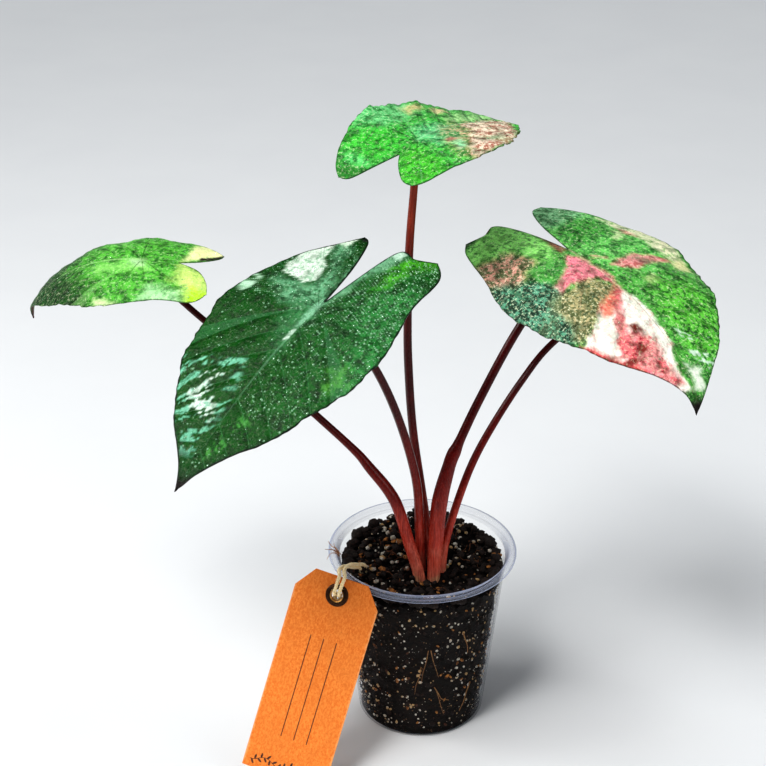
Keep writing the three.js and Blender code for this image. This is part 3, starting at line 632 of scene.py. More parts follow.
RAGGED = ((17, 1.7, 1.2), (42, 4.1, 1.1), (95, 2.9, 1.0))   # noise scale, its seed and its share
EDGE_ROUGHNESS = (0.004, 0.35)                              # everywhere, and for each unit of softness
STROKE_BAND = (0.10, 0.24)


def wander(points, scale, seed):
    """Even noise from -1 to 1, one value for each point."""
    return np.array([noise.noise(Vector((x * scale, y * scale, seed))) for x, y in points])


def paint_blade(name, flat, order):
    """The colour and the fleck colour of each place on a blade."""
    ground, fleck, share = LOOKS[name]["ground"]
    count = len(flat)
    base = np.tile(colour(ground)[:3], (count, 1))
    flecks = np.tile((*colour(fleck)[:3], share), (count, 1))
    ragged = sum(part * wander(flat, scale, seed) for scale, seed, part in RAGGED)
    reach = np.hypot(flat[:, 0], flat[:, 1])
    across = order * 6.5 + wander(flat, 14, 3.3) * 1.05
    strokes = wander(np.stack([across, reach * 12], 1), 1, 8.3) + 0.55 * wander(flat, 55, 6.2)
    for tint, second, amount, soft, broken, outline in PATCHES[name]:
        corners = np.reshape(outline, (-1, 2)) / 100
        track = np.vstack([corners, corners[:1]])
        depth = distance_to(track, flat) * np.where(inside(track, flat), 1, -1)
        cover = step_up(depth + (EDGE_ROUGHNESS[0] + EDGE_ROUGHNESS[1] * soft) * ragged, -soft, soft)
        if broken:
            cover *= 1 - broken + broken * step_up(strokes, *STROKE_BAND)
        base += (np.array(colour(tint)[:3]) - base) * cover[:, None]
        flecks += (np.array((*colour(second)[:3], amount)) - flecks) * cover[:, None]
    return base, flecks


FLAT_KEYS = ("along", "leftward", "column", "row")


def blade_sheet(leaf):
    """The blade's upper face, with its flat places kept on its points."""
    bm = bmesh.new()
    layers = [bm.verts.layers.float.new(key) for key in FLAT_KEYS]
    for side, half in halves(leaf):
        grid = bmesh.ops.create_grid(bm, x_segments=BLADE_COLUMNS, y_segments=BLADE_ROWS, size=0.5)
        made = grid["verts"]
        column = np.clip([vert.co.x + 0.5 for vert in made], 0, 1)
        row = np.clip([vert.co.y + 0.5 for vert in made], 0, 1)
        flat = flat_blade(leaf, half, column, row)
        lifted = lift_blade(leaf, half, side, flat, column, row)
        for vert, place, (along, away), c, r in zip(made, lifted, flat, column, row):
            vert.co = place
            for layer, value in zip(layers, (along, side * away, c, r)):
                vert[layer] = value
        if side < 0:
            bmesh.ops.reverse_faces(bm, faces=list({face for vert in made for face in vert.link_faces}))
    bmesh.ops.remove_doubles(bm, verts=bm.verts, dist=0.004)
    bmesh.ops.dissolve_degenerate(bm, edges=bm.edges, dist=0.002)
    return bm


def read_layer(mesh, key):
    values = np.zeros(len(mesh.vertices))
    mesh.attributes[key].data.foreach_get("value", values)
    return values


def write_layer(mesh, key, values):
    """Numbers on the points, or colours where each point has four."""
    kind, slot = ("FLOAT_COLOR", "color") if values.ndim == 2 else ("FLOAT", "value")
    layer = mesh.attributes.new(key, kind, "POINT")
    layer.data.foreach_set(slot, values.astype(np.float32).ravel())


def dress_blade(name, leaf, blade):
    """Writes what the leaf finish reads: colours, vein order, and distances in millimetres."""
    mesh = blade.data
    flat = np.stack([read_layer(mesh, "along"), read_layer(mesh, "leftward")], 1)
    here = np.stack([flat[:, 0], np.abs(flat[:, 1])], 1)
    order = vein_order(here[:, 0], here[:, 1])
    margin = np.zeros(len(flat))
    for side, half in halves(leaf):
        outer, inner = margin_points(leaf, half)
        outer_gap = distance_to(even_point(outer, np.linspace(0, 1, 120)), here)
        inner_gap = distance_to(even_point(inner, np.linspace(0, 1, 50)), here)
        margin = np.where(flat[:, 1] * side >= 0, np.minimum(outer_gap, inner_gap), margin)
    base, flecks = paint_blade(name, flat, order)
    write_layer(mesh, "tint", np.hstack([base, np.ones((len(base), 1))]))
    write_layer(mesh, "fleck", flecks)
    write_layer(mesh, "order", order)
    write_layer(mesh, "margin", margin * leaf["length"])
    write_layer(mesh, "ahead", flat[:, 0])
    write_layer(mesh, "away", here[:, 1] * leaf["length"])
    sheet = mesh.uv_layers.new(name="flat")
    corner = np.zeros(len(mesh.loops), int)
    mesh.loops.foreach_get("vertex_index", corner)
    sheet.data.foreach_set("uv", (flat[corner] + 0.5).astype(np.float32).ravel())
    for key in FLAT_KEYS:
        mesh.attributes.remove(mesh.attributes[key])
    thick = blade.modifiers.new("thickness", "SOLIDIFY")
    thick.thickness = BLADE_THICKNESS * MM
    thick.offset = -1
    thick.material_offset = 1
    thick.material_offset_rim = 0


def leaf_finish(name, length, rib, vein, edge, gloss, shine):
    """A glossy upper face: flecked ground, pale ribs, dark margin, low cell relief."""
    f = Finish("leaf_" + name)
    spot = f.blade_place(length)
    tint = f.attribute("tint", "Color")
    amount = f.attribute("fleck", "Alpha")
    ahead = f.attribute("ahead")

    ground = f.dimmed(f.band(f.noise(spot, 0.13), 0.35, 0.65, 0.0, 0.35), tint, "9fb49f")
    grains = f.product(f.noise(spot, 0.44, 5, 0.74), 0.62)
    grains = f.sum(grains, f.product(f.noise(spot, 0.17, 3, 0.65), 0.38))
    depth = f.worked("SUBTRACT", grains, f.band(amount, 0.0, 1.0, 0.58, 0.475))
    marks = f.product(f.band(depth, -0.02, 0.045), f.band(amount, 0.0, 0.8, 0.3, 0.95))
    sparks = f.noise(f.mapped(spot, shift=(31, 17, 0)), 0.60, 5, 0.76)
    pale = f.product(f.band(sparks, 0.53, 0.61), f.band(amount, 0.0, 1.0, 0.15, 0.85))
    ground = f.coats(ground, (marks, f.attribute("fleck", "Color")), (pale, f.blend(shine, tint, "faffd8")))
    shade = f.band(f.noise(spot, 0.16, 4, 0.6), 0.36, 0.54, 0.85, 0.0)
    ground = f.dimmed(f.product(shade, f.band(amount, 0.3, 0.6, 0.1, 1.0)), ground, "8fa090")

    off_vein = f.off_vein()
    vein_line = f.band(off_vein, 0.465, 0.498)
    rib_width = f.band(ahead, 0.0, 0.9, 1.2, 0.35)
    rib_line = f.band(f.worked("DIVIDE", f.attribute("away"), rib_width), 0.45, 1.0, 1.0, 0.0)
    rib_share = f.product(rib_line, f.band(ahead, -0.03, 0.0), f.band(ahead, 0.15, 0.9, rib[1], rib[2]))
    ragged = f.sum(f.attribute("margin"), f.band(f.noise(spot, 0.35), 0.3, 0.7, -0.35, 0.35))
    border = f.band(ragged, edge[1] * 0.35, edge[1], 1.0, 0.0)
    ground = f.coats(
        ground, (f.product(vein_line, vein[1]), vein[0]), (rib_share, rib[0]),
        (f.product(border, edge[2]), edge[0]), (f.band(ahead, 0.915, 0.965), "140c0a"))

    fine = f.noise(spot, 1.6, 4, 0.6)
    valleys = f.product(f.band(off_vein, 0.28, 0.5), -1.0)
    bent = f.bump(f.sum(f.product(vein_line, -0.08), valleys, f.product(rib_line, 0.5)), 0.6, 0.9)
    pores = f.sum(f.product(fine, 0.6), f.cells(spot, 0.6), f.product(sparks, 1.5))
    return f.surface(
        Base_Color=ground, Roughness=f.band(fine, 0.35, 0.7, gloss, gloss + 0.16),
        Normal=f.bump(pores, 0.45, 0.8, bent), Specular_IOR_Level=0.20)


def underside_finish(name, ground, second):
    """A duller lower face, with its ribs raised and maroon."""
    f = Finish("underside_" + name)
    spot = f.blade_place(100)
    line = f.band(f.off_vein(), 0.44, 0.495)
    rib = f.band(f.attribute("away"), 0.6, 1.8, 1.0, 0.0)
    on_blade = f.band(f.attribute("ahead"), -0.03, 0.0)
    base = f.coats(ground, (f.band(f.noise(spot, 0.12, 4), 0.35, 0.65), second),
                   (f.product(line, 0.7), "5c1f22"), (f.product(rib, on_blade), "54181a"))
    bent = f.bump(f.cells(spot, 0.9), 0.12, 0.6, f.bump(f.sum(line, rib), 0.5, 0.8))
    return f.surface(Base_Color=base, Roughness=0.5, Normal=bent)


blades = {}
for name, leaf in LEAVES.items():
    look = LOOKS[name]
    upper = leaf_finish(name, leaf["length"], **look["upper"])
    under = underside_finish(name, *look["under"])
    sheet = blade_sheet(leaf)
    blades[name] = piece("leaf_blade_" + name, sheet, look["slot"], upper, under, replaced="blade_" + name)
    dress_blade(name, leaf, blades[name])


# Stalks

SHEATH_TOPS = {"1": (0.46, 2.3), "4": (0.52, 2.9)}      # share of the stalk, and the way the sheath opens
GROOVE_SIDE = 2.6
STALK_STEPS = 120
STALK_SIDES = 24
TIP_SINK = 0.5
TIP_SINK_WITH_LEAN = 0.3
TIP_TAPER = (0.98, 0.92, 0.80)


def stalk_route(leaf):
    """The stalk's stations, and its tip let a little into the blade."""
    x, y, z, radius = leaf["stalk"][-1]
    pitch = math.radians(leaf["pitch"])
    upward = turned_leaf(leaf).to_3x3() @ Vector((-math.sin(pitch), 0, math.cos(pitch)))
    joint = Vector(leaf["joint"])
    lean = upward.angle(joint - Vector((x, y, z)))
    end = joint - upward * (TIP_SINK + TIP_SINK_WITH_LEAN * radius * math.sin(lean))
    return leaf["stalk"] + [(*end, radius)]


def sheath_shape(name):
    """How a stalk's section swells round it: an open sheath low down, a shallow groove above it."""
    def shape(share, angle):
        swell = 1 - 0.10 * bulge(math.remainder(angle - GROOVE_SIDE, TURN), 0.35)
        if name in SHEATH_TOPS:
            top, side = SHEATH_TOPS[name]
            below = 1 / (1 + math.exp((share - top) / 0.012))
            lip = bulge(math.remainder(angle - side, TURN), 0.9)
            swell += 0.20 * lip * below * bulge(share - top, 0.12)
        return swell
    return shape


def stalk_finish():
    """Glossy maroon, near black up the stalk and salmon at the soil, with fine streaks along it."""
    f = Finish("stalk_skin")
    here = f.place()
    level = f.sum(f.part(here, "Z"), f.band(f.noise(here, 0.10), 0.3, 0.7, -6, 6))
    streaks = f.noise(f.place(1, 1, 0.06), 1.3, 4, 0.6)
    skin = f.coats(
        "d04c3a", (f.band(level, 100, 150), "7c1c16"), (f.band(level, 145, 195), "48090a"),
        (f.band(level, 245, 285), "8c3420"), (f.band(level, 90, 114, 1, 0), "f08870"),
        (f.band(level, 86, 94, 1, 0), "f4b890"))
    skin = f.dimmed(f.band(streaks, 0.40, 0.62, 0.0, 0.5), skin, "905850")
    fine = f.noise(f.place(1, 1, 0.2), 2.4, 4, 0.6)
    bent = f.bump(fine, 0.06, 0.4, f.bump(streaks, 0.14, 0.5))
    return f.surface(Base_Color=skin, Roughness=f.band(fine, 0.3, 0.7, 0.20, 0.32), Normal=bent,
                     Specular_IOR_Level=0.22)


stalk_skin = stalk_finish()
for name, leaf in LEAVES.items():
    bm = bmesh.new()
    stations = stalk_route(leaf)
    shares = np.linspace(0, 1, STALK_STEPS + 1)
    centres, way = spline([s[:3] for s in stations], shares)
    radii = np.interp(shares * (len(stations) - 1), range(len(stations)), [s[3] for s in stations])
    radii[-len(TIP_TAPER):] *= TIP_TAPER
    tube(bm, centres, radii, STALK_SIDES, *square_frame(way), sheath_shape(name))
    piece("leaf_stalk_" + name, bm, "stalk", stalk_skin, replaced="petiole_" + name)


# Cup

CUP_HEIGHT = 100
RIM_RADIUS = 50
ROLL_WIDTH = 4.4
ROLL_HEIGHT = 4.2
WALL_TOP_RADIUS = 44.8
BASE_RADIUS = 34
WALL = 0.8
GAP = 0.3
CUP_STEPS = 144
DRAIN_HOLES = 6
DRAIN_RADIUS = 1.7
DRAIN_CIRCLE = 22


def around(reach, turn, z):
    """A place at a distance from the upright axis."""
    return Vector((reach * math.cos(turn), reach * math.sin(turn), z))


def wall_radius(z):
    return BASE_RADIUS + (WALL_TOP_RADIUS - BASE_RADIUS) * z / (CUP_HEIGHT - ROLL_HEIGHT)


def spun(section, steps, closed=False):
    """A section of (radius, height) points turned once round the upright axis."""
    bm = bmesh.new()
    verts = [bm.verts.new((r, 0, z)) for r, z in section]
    edges = [bm.edges.new(pair) for pair in zip(verts, verts[1:])]
    if closed:
        edges.append(bm.edges.new((verts[-1], verts[0])))
    bmesh.ops.spin(bm, geom=verts + edges, cent=(0, 0, 0), axis=(0, 0, 1), angle=TURN, steps=steps,
                   use_merge=True)
    bmesh.ops.remove_doubles(bm, verts=bm.verts, dist=1e-4)
    bmesh.ops.recalc_face_normals(bm, faces=bm.faces)
    return bm


def cup_section():
    """Up the inside of the wall, round the rolled rim, down the outside and in under the foot."""
    roll_x = RIM_RADIUS - ROLL_WIDTH / 2
    roll_z = CUP_HEIGHT - ROLL_HEIGHT / 2
    top = CUP_HEIGHT - ROLL_HEIGHT
    corner = wall_radius(WALL) - WALL
    points = [(0, WALL), (corner - 1.6, WALL), (corner - 0.4, WALL + 0.35)]
    points += [(wall_radius(z) - WALL, z) for z in (WALL + 1.6, 20, 40, 60, 80, 90)]
    points += [(WALL_TOP_RADIUS - WALL, top)]
    for degrees in range(150, -130, -20):
        turn = math.radians(degrees)
        points += [(roll_x + ROLL_WIDTH / 2 * math.cos(turn), roll_z + ROLL_HEIGHT / 2 * math.sin(turn))]
    points += [(WALL_TOP_RADIUS, top)]
    points += [(wall_radius(z), z) for z in (90, 80, 60, 40, 20, 3, 1)]
    points += [(BASE_RADIUS - 0.4, 0.3), (BASE_RADIUS - 1, 0), (BASE_RADIUS - 3, 0)]
    points += [(BASE_RADIUS - 4.5, 0.3), (0, 0.3)]
    return points


def cup_finish():
    """Thin clear moulded plastic: see-through face on, milky where it is thick, with faint scuffs."""
    f = Finish("cup_plastic")
    height = f.part(f.place(), "Z")
    haze = f.band(f.noise(f.place(1, 1, 0.25), 0.5, 4, 0.65), 0.55, 0.75, 0.0, 0.10)
    rim = f.band(height, 95.2, 96.4)
    foot = f.band(height, 0.6, 2.2, 0.16, 0.0)
    grazing = f.node("LayerWeight", {"Blend": 0.5}).outputs["Facing"]
    body = f.sum(f.product(haze, 0.3), foot, f.band(grazing, 0.62, 1.0, 0.0, 0.42))
    lip = f.band(grazing, 0.30, 0.90, 0.12, 0.92)
    cover = f.node("Mix", {"Factor": rim, "A": body, "B": lip}, data_type="FLOAT").outputs[0]
    bent = f.bump(f.noise(f.place(1, 1, 0.1), 0.12), 0.6, 0.4)
    return f.surface(Base_Color=f.blend(rim, "80848c", "b8c2dc"), Alpha=cover, Roughness=0.12, Normal=bent,
                     IOR=1.5, Specular_IOR_Level=0.5)


def make_cup():
    cup = piece("cup", spun(cup_section(), CUP_STEPS), "clear_plastic", cup_finish(), replaced="pot")
    drill = bmesh.new()
    for k in range(DRAIN_HOLES):
        angle = TURN * k / DRAIN_HOLES
        where = around(DRAIN_CIRCLE, angle, WALL / 2)
        bmesh.ops.create_cone(
            drill, cap_ends=True, segments=24, radius1=DRAIN_RADIUS * MM, radius2=DRAIN_RADIUS * MM,
            depth=4 * WALL * MM, matrix=Matrix.Translation(where * MM))
    tool = stand("drain_drill", mesh_of("drain_drill", drill))
    cut = cup.modifiers.new("drain holes", "BOOLEAN")
    cut.operation = "DIFFERENCE"
    cut.object = tool
    bpy.context.view_layer.update()
    drilled = cup.evaluated_get(bpy.context.evaluated_depsgraph_get())
    cup.data = bpy.data.meshes.new_from_object(drilled)
    cup.modifiers.remove(cut)
    bpy.data.objects.remove(tool)


make_cup()


# Soil, with its perlite, bark and fine roots

SOIL_LEVEL = 89
SOIL_BACK_RISE = 6
SOIL_INSET = WALL + GAP + 0.1
SOIL_FLOOR = WALL + GAP
SOIL_EDGE = 3.2                   # from the wall to the outermost grains on top
SOIL_RIM = (2.6, 5.5)             # from the wall to the grains heaped at the edge
BARE_CROWN = 9                    # no grains closer than this to the stalks
GRAIN_TILT = 0.5
GRAIN_ROUGHNESS = (0.78, 1.12)
SOIL_STEPS = 230
SOIL_WALL_RINGS = 76
SOIL_TOP_RINGS = 40
CROWN = (3.6, -12)                # where the stalks come out
CROWN_HEAP = (1.2, 9)             # how high and how wide the soil rises there
CRUMB_DEPTH = 1.8
WALL_CRUMB_DEPTH = 2.2
DEEPEST_WALL_CRUMB = 1.6
HIGHEST_CRUMB = 96.5
HIGHEST_AT_WALL = 95.5


def from_crown(x, y):
    return math.hypot(x - CROWN[0], y - CROWN[1])


def soil_height(x, y):
    lumps = (1.1 * math.sin(0.31 * x + 1.2) * math.cos(0.27 * y + 0.4)
             + 0.8 * math.sin(0.62 * x - 0.45 * y + 2) + 0.5 * math.cos(0.9 * x + 0.8 * y))
    return SOIL_LEVEL + SOIL_BACK_RISE * ((y / WALL_TOP_RADIUS + 1) / 2) ** 2 + lumps


def crumble(place, scale, seed):
    return noise.turbulence(Vector(place) * scale + Vector((0, 0, seed)), 4, False, amplitude_scale=0.6)


def make_soil():
    """A turned body whose skin is pushed in and out into crumbs; it closes round the stalks."""
    edge = wall_radius(SOIL_LEVEL) - SOIL_INSET
    section = [(0, SOIL_FLOOR), (12, SOIL_FLOOR), (24, SOIL_FLOOR)]
    heights = np.linspace(SOIL_FLOOR, SOIL_LEVEL, SOIL_WALL_RINGS)
    section += [(wall_radius(z) - SOIL_INSET, z) for z in heights]
    section += [(r, SOIL_LEVEL) for r in np.linspace(edge, 0, SOIL_TOP_RINGS)[1:]]
    bm = spun(section, SOIL_STEPS)
    for vert in bm.verts:
        x, y, z = vert.co
        reach = math.hypot(x, y)
        if z > SOIL_LEVEL - 0.01:
            rise = soil_height(x, y) + CRUMB_DEPTH * (crumble((x, y, 3), 0.35, 5) - 0.9)
            rise += CROWN_HEAP[0] * bulge(from_crown(x, y), CROWN_HEAP[1])
            vert.co.z = min(rise, HIGHEST_CRUMB)
            if reach > edge - 0.5:
                vert.co.z = min(vert.co.z, HIGHEST_AT_WALL)
        elif z > SOIL_FLOOR + 0.5:
            top = soil_height(x, y) - 0.4
            vert.co.z = SOIL_FLOOR + (z - SOIL_FLOOR) * (top - SOIL_FLOOR) / (SOIL_LEVEL - SOIL_FLOOR)
            push = max(0, WALL_CRUMB_DEPTH * (1.0 - crumble((x, y, z), 0.30, 9)))
            push = min(DEEPEST_WALL_CRUMB, push)
            share = (wall_radius(vert.co.z) - SOIL_INSET - push) / reach
            vert.co.x *= share
            vert.co.y *= share
    bmesh.ops.recalc_face_normals(bm, faces=bm.faces)
    piece("potting_soil", bm, "soil", soil_finish(), replaced="soil")


def soil_finish():
    """Near-black crumbs with brown fibres and a few pale bits."""
    f = Finish("potting_soil")
    here = f.place()
    crumbs = f.noise(here, 0.55, 5, 0.68)
    fibres = f.noise(f.place(0.5, 1, 2.2), 0.5, 4, 0.6, 0.6)
    bits = f.band(f.cells(here, 0.42), 0.10, 0.22, 1.0, 0.0)
    bits = f.product(bits, f.band(f.noise(here, 0.21, 2), 0.52, 0.60))
    base = f.coats("070403", (f.band(crumbs, 0.42, 0.66), "1c100b"),
                   (f.band(fibres, 0.62, 0.74, 0.0, 0.5), "4a2c18"), (bits, "7c6048"))
    bent = f.bump(f.sum(crumbs, f.product(fibres, 0.5)), 1.6, 1)
    return f.surface(Base_Color=base, Roughness=0.85, Normal=bent, Specular_IOR_Level=0.35)


def grain_finish(name, first, second, third, rough):
    """Two close tones in each grain, and a third tone in some of the grains."""
    f = Finish(name)
    here = f.place()
    spots = f.noise(here, 0.8, 4, 0.65)
    tone = f.coats(first, (f.band(spots, 0.35, 0.65), second),
                   (f.band(f.noise(here, 0.17, 2), 0.50, 0.58), third))
    bent = f.bump(f.sum(spots, f.cells(here, 1.6)), 0.4, 0.9)
    return f.surface(Base_Color=tone, Roughness=rough, Normal=bent)


def soil_places(count, rng, where):
    """Places for grains: on the soil's top, heaped round its edge, or against the wall."""
    for _ in range(count):
        turn = rng.uniform(0, TURN)
        if where == "wall":
            z = rng.uniform(3, SOIL_LEVEL - 1)
            yield around(wall_radius(z) - WALL - GAP, turn, z), turn
            continue
        if where == "edge":
            reach = wall_radius(SOIL_LEVEL) - rng.uniform(*SOIL_RIM)
        else:
            reach = (wall_radius(SOIL_LEVEL) - SOIL_EDGE) * math.sqrt(rng.random())
        x, y = reach * math.cos(turn), reach * math.sin(turn)
        if where == "edge":
            yield Vector((x, y, soil_height(x, y) + rng.uniform(0, 1.2))), turn
        elif from_crown(x, y) >= BARE_CROWN:
            yield Vector((x, y, soil_height(x, y))), turn


def grain(bm, middle, turn, rng):
    """One rough grain, kept just inside the cup's wall."""
    place = Matrix.Translation(middle) @ turn
    for vert in bmesh.ops.create_icosphere(bm, subdivisions=1, radius=1, matrix=place)["verts"]:
        vert.co = middle + (vert.co - middle) * rng.uniform(*GRAIN_ROUGHNESS)
        limit = wall_radius(vert.co.z) - WALL - 0.15
        reach = math.hypot(vert.co.x, vert.co.y)
        if reach > limit:
            vert.co.x *= limit / reach
            vert.co.y *= limit / reach


def strew(name, slot, seed, tones, *kinds):
    """Many small grains in one piece. A kind is: how many, where, their sizes, how flat and how long."""
    heap = Heap()
    rng = random.Random(seed)
    for count, where, (small, large), flat, long in kinds:
        for middle, turn in soil_places(count, rng, where):
            size = small + (large - small) * rng.random() ** 2
            if where == "wall":
                spin = Matrix.Rotation(turn, 4, "Z") @ Matrix.Rotation(rng.uniform(0, TURN), 4, "X")
                stretch = Matrix.Diagonal((size * flat, size, size * long, 1))
                reach = max(size * flat, 0.4) + 0.3
                middle -= around(reach, turn, 0)
            else:
                spin = Matrix.Rotation(rng.uniform(0, TURN), 4, "Z")
                spin = spin @ Matrix.Rotation(rng.uniform(-GRAIN_TILT, GRAIN_TILT), 4, "X")
                stretch = Matrix.Diagonal((size * long, size, size * flat, 1))
                middle += Vector((0, 0, 0.25 * size * flat + 0.5))
            heap.add(grain, middle, spin @ stretch, rng)
    piece(name, heap.finished(), slot, grain_finish(name, *tones))


make_soil()
strew("perlite_grains", "perlite", 11, ("e4e0d4", "9c9484", "c0a070", 0.8),
      (230, "top", (0.35, 1.7), 0.85, 1.15), (1250, "wall", (0.16, 0.95), 0.7, 1.3),
      (30, "edge", (0.6, 1.6), 0.8, 1.2))
strew("bark_chips", "bark", 12, ("c88a44", "6c3c1a", "4a2814", 0.75),
      (85, "top", (0.7, 2.3), 0.45, 1.6), (220, "wall", (0.3, 1.1), 0.5, 1.8))
strew("soil_crumbs", "soil", 13, ("100806", "2c1a10", "1c100a", 0.85),
      (420, "top", (0.8, 2.4), 0.7, 1.3), (260, "wall", (0.6, 1.6), 0.6, 1.3),
      (150, "edge", (1.6, 3.4), 0.8, 1.2))


ROOT_DEPTH = 0.75                 # of a root's middle inside the wall
ROOT_STATIONS = 10
ROOT_TAPER = 0.45


def fine_roots(name, seed, runs, thick, finish):
    """Thin wandering fibres, each a narrow tube along a short path."""
    heap = Heap()
    rng = random.Random(seed)
    for run in runs:
        centres, way = spline(run, np.linspace(0, 1, ROOT_STATIONS))
        radii = thick * rng.uniform(0.7, 1.2) * np.linspace(1, ROOT_TAPER, ROOT_STATIONS)
        heap.add(tube, centres, radii, 5, *square_frame(way))
    piece(name, heap.finished(), "root", finish)


def wall_point(degrees, z):
    return around(wall_radius(z) - WALL - ROOT_DEPTH, math.radians(degrees), z)


WALL_ROOTS = [
    [(-86, 60), (-87.5, 52), (-90, 44), (-91, 37)],
    [(-84, 60), (-82, 53), (-79, 46), (-77, 41)],
    [(-80, 34), (-76, 29), (-73, 25), (-66, 23)],
]


def wall_root_runs():
    """Roots that have reached the cup's wall and run down it: three that show in front, and others."""
    rng = random.Random(21)
    runs = [[wall_point(*at) for at in run] for run in WALL_ROOTS]
    for _ in range(16):
        turn, z = rng.uniform(0, 360), rng.uniform(20, 80)
        lean = rng.uniform(-9, 9)
        fall = rng.uniform(8, 20)
        runs.append([
            wall_point(turn + lean * k / 3 + rng.uniform(-1, 1), max(3, z - fall * k / 3)) for k in range(4)])
    return runs


TOP_FIBRES = 46
TOP_FIBRE_REACH = 40              # from the upright axis
TOP_FIBRE_WANDER = 0.6


def top_fibre_runs():
    """Loose dry fibres on the soil, clear of the stalks and of the wall."""
    rng = random.Random(23)
    runs = []
    for _ in range(TOP_FIBRES):
        turn, reach = rng.uniform(0, TURN), rng.uniform(8, 36)
        x, y = reach * math.cos(turn), reach * math.sin(turn)
        if from_crown(x, y) < 12:
            continue
        heading, length = rng.uniform(0, TURN), rng.uniform(3, 9)
        run = []
        for k in range(4):
            px = x + length * k / 3 * math.cos(heading) + rng.uniform(-TOP_FIBRE_WANDER, TOP_FIBRE_WANDER)
            py = y + length * k / 3 * math.sin(heading) + rng.uniform(-TOP_FIBRE_WANDER, TOP_FIBRE_WANDER)
            if math.hypot(px, py) > TOP_FIBRE_REACH:
                break
            run.append((px, py, soil_height(px, py) + 1.0 + rng.uniform(0, 0.8)))
        if len(run) == 4:
            runs.append(run)
    return runs


root_skin = grain_finish("fine_root_skin", "b88a54", "7c5430", "94683c", 0.7)
dry_skin = grain_finish("dry_fibres", "8c5a34", "4c2c18", "6c4024", 0.8)
fine_roots("fine_roots", 31, wall_root_runs(), 0.34, root_skin)
fine_roots("top_fibres", 32, top_fibre_runs(), 0.34, dry_skin)
refinish("rootstock", root_skin)


# Tag, eyelet and twine. In the tag's own plane X runs across it, Y up it and Z out of its face, from the
# middle of the eyelet.

TAG_WIDTH = 45
TAG_LENGTH = 110.5
TAG_THICKNESS = 0.7
TAG_FACE = TAG_THICKNESS / 2
EYELET_DROP = 9.5
EYELET_RADII = (3.0, 3.6, 6.0)    # of the bore, the barrel and the flange
EYELET_GAP = 0.05
TAG_TURN = -12.2
TAG_LEAN = 22.5
TAG_TWIST = -12.1
TAG_EYE = Vector((-44.3, -41.2, 96.3))
TAG_PLACE = Matrix.Translation(TAG_EYE)
for tilt, axis in ((TAG_TURN, "Z"), (90 - TAG_LEAN, "X"), (TAG_TWIST, "Z")):
    TAG_PLACE = TAG_PLACE @ Matrix.Rotation(math.radians(tilt), 4, axis)


def tag_space(f):
    """Millimetres in the tag's own plane, from object coordinates."""
    turn = tuple(TAG_PLACE.to_3x3().transposed().to_euler("XYZ"))
    point = f.node("TexCoord", {}).outputs["Object"]
    moved = f.node("VectorMath", {0: point, 1: tuple(TAG_EYE * MM)}, operation="SUBTRACT").outputs[0]
    turned = f.node("VectorRotate", {"Vector": moved, "Rotation": turn}, rotation_type="EULER_XYZ").outputs[0]
    return f.node("VectorMath", {0: turned, 1: (1000, 1000, 1000)}, operation="MULTIPLY").outputs[0]


def kraft_finish():
    """Recycled kraft card: short fibres, specks, worn pale edges."""
    f = Finish("kraft_card")
    here = tag_space(f)
    fibres = f.noise(f.mapped(here, (1.2, 0.7, 1)), 0.9, 5, 0.65, 0.5)
    cross = f.noise(f.mapped(here, (0.6, 1.3, 1)), 0.8, 4, 0.6, 0.5)
    specks = f.band(f.cells(here, 0.55), 0.06, 0.13, 1.0, 0.0)
    side = f.sum(f.worked("ABSOLUTE", f.part(here, "X")), f.band(fibres, 0.3, 0.7, -0.4, 0.4))
    worn = f.band(side, TAG_WIDTH / 2 - 1.1, TAG_WIDTH / 2 - 0.2)
    base = f.coats(
        "d87028", (f.band(fibres, 0.35, 0.65), "ec8e40"), (f.band(cross, 0.58, 0.72, 0.0, 0.3), "c06420"),
        (f.band(f.noise(here, 0.07, 4), 0.35, 0.65, 0.0, 0.35), "d47a34"),
        (f.product(specks, 0.4), "7c3c14"), (f.product(worn, 0.5), "f0b078"))
    return f.surface(Base_Color=base, Roughness=0.82, Normal=f.bump(f.sum(fibres, cross), 0.16, 0.8),
                     Specular_IOR_Level=0.25)


def ink_finish():
    f = Finish("brown_ink")
    tone = f.blend(f.band(f.noise(tag_space(f), 1.4, 4, 0.6), 0.4, 0.7), "2a140c", "6c3414")
    return f.surface(Base_Color=tone, Roughness=0.7)


RULED_LINES = 3
LINE_GAP = 7
LINE_LENGTH = 56
LINE_WIDTH = 0.45
LINE_MIDDLE = -52                 # up the tag, from the eyelet
STEM_STEPS = 24
STEM_STEP = 1.6
STEM_START = -18.4                # across the tag
STEM_RISE = 5.6                   # above the tag's foot
STEM_WAVE = (0.42, 1.3)           # how tight and how high
STEM_WIDTH = 0.3
LEAFLET_LENGTH = 2.7
LEAFLET_SHAPE = 0.2
LEAFLET_TURN = 62
INK_LIFT = 0.04


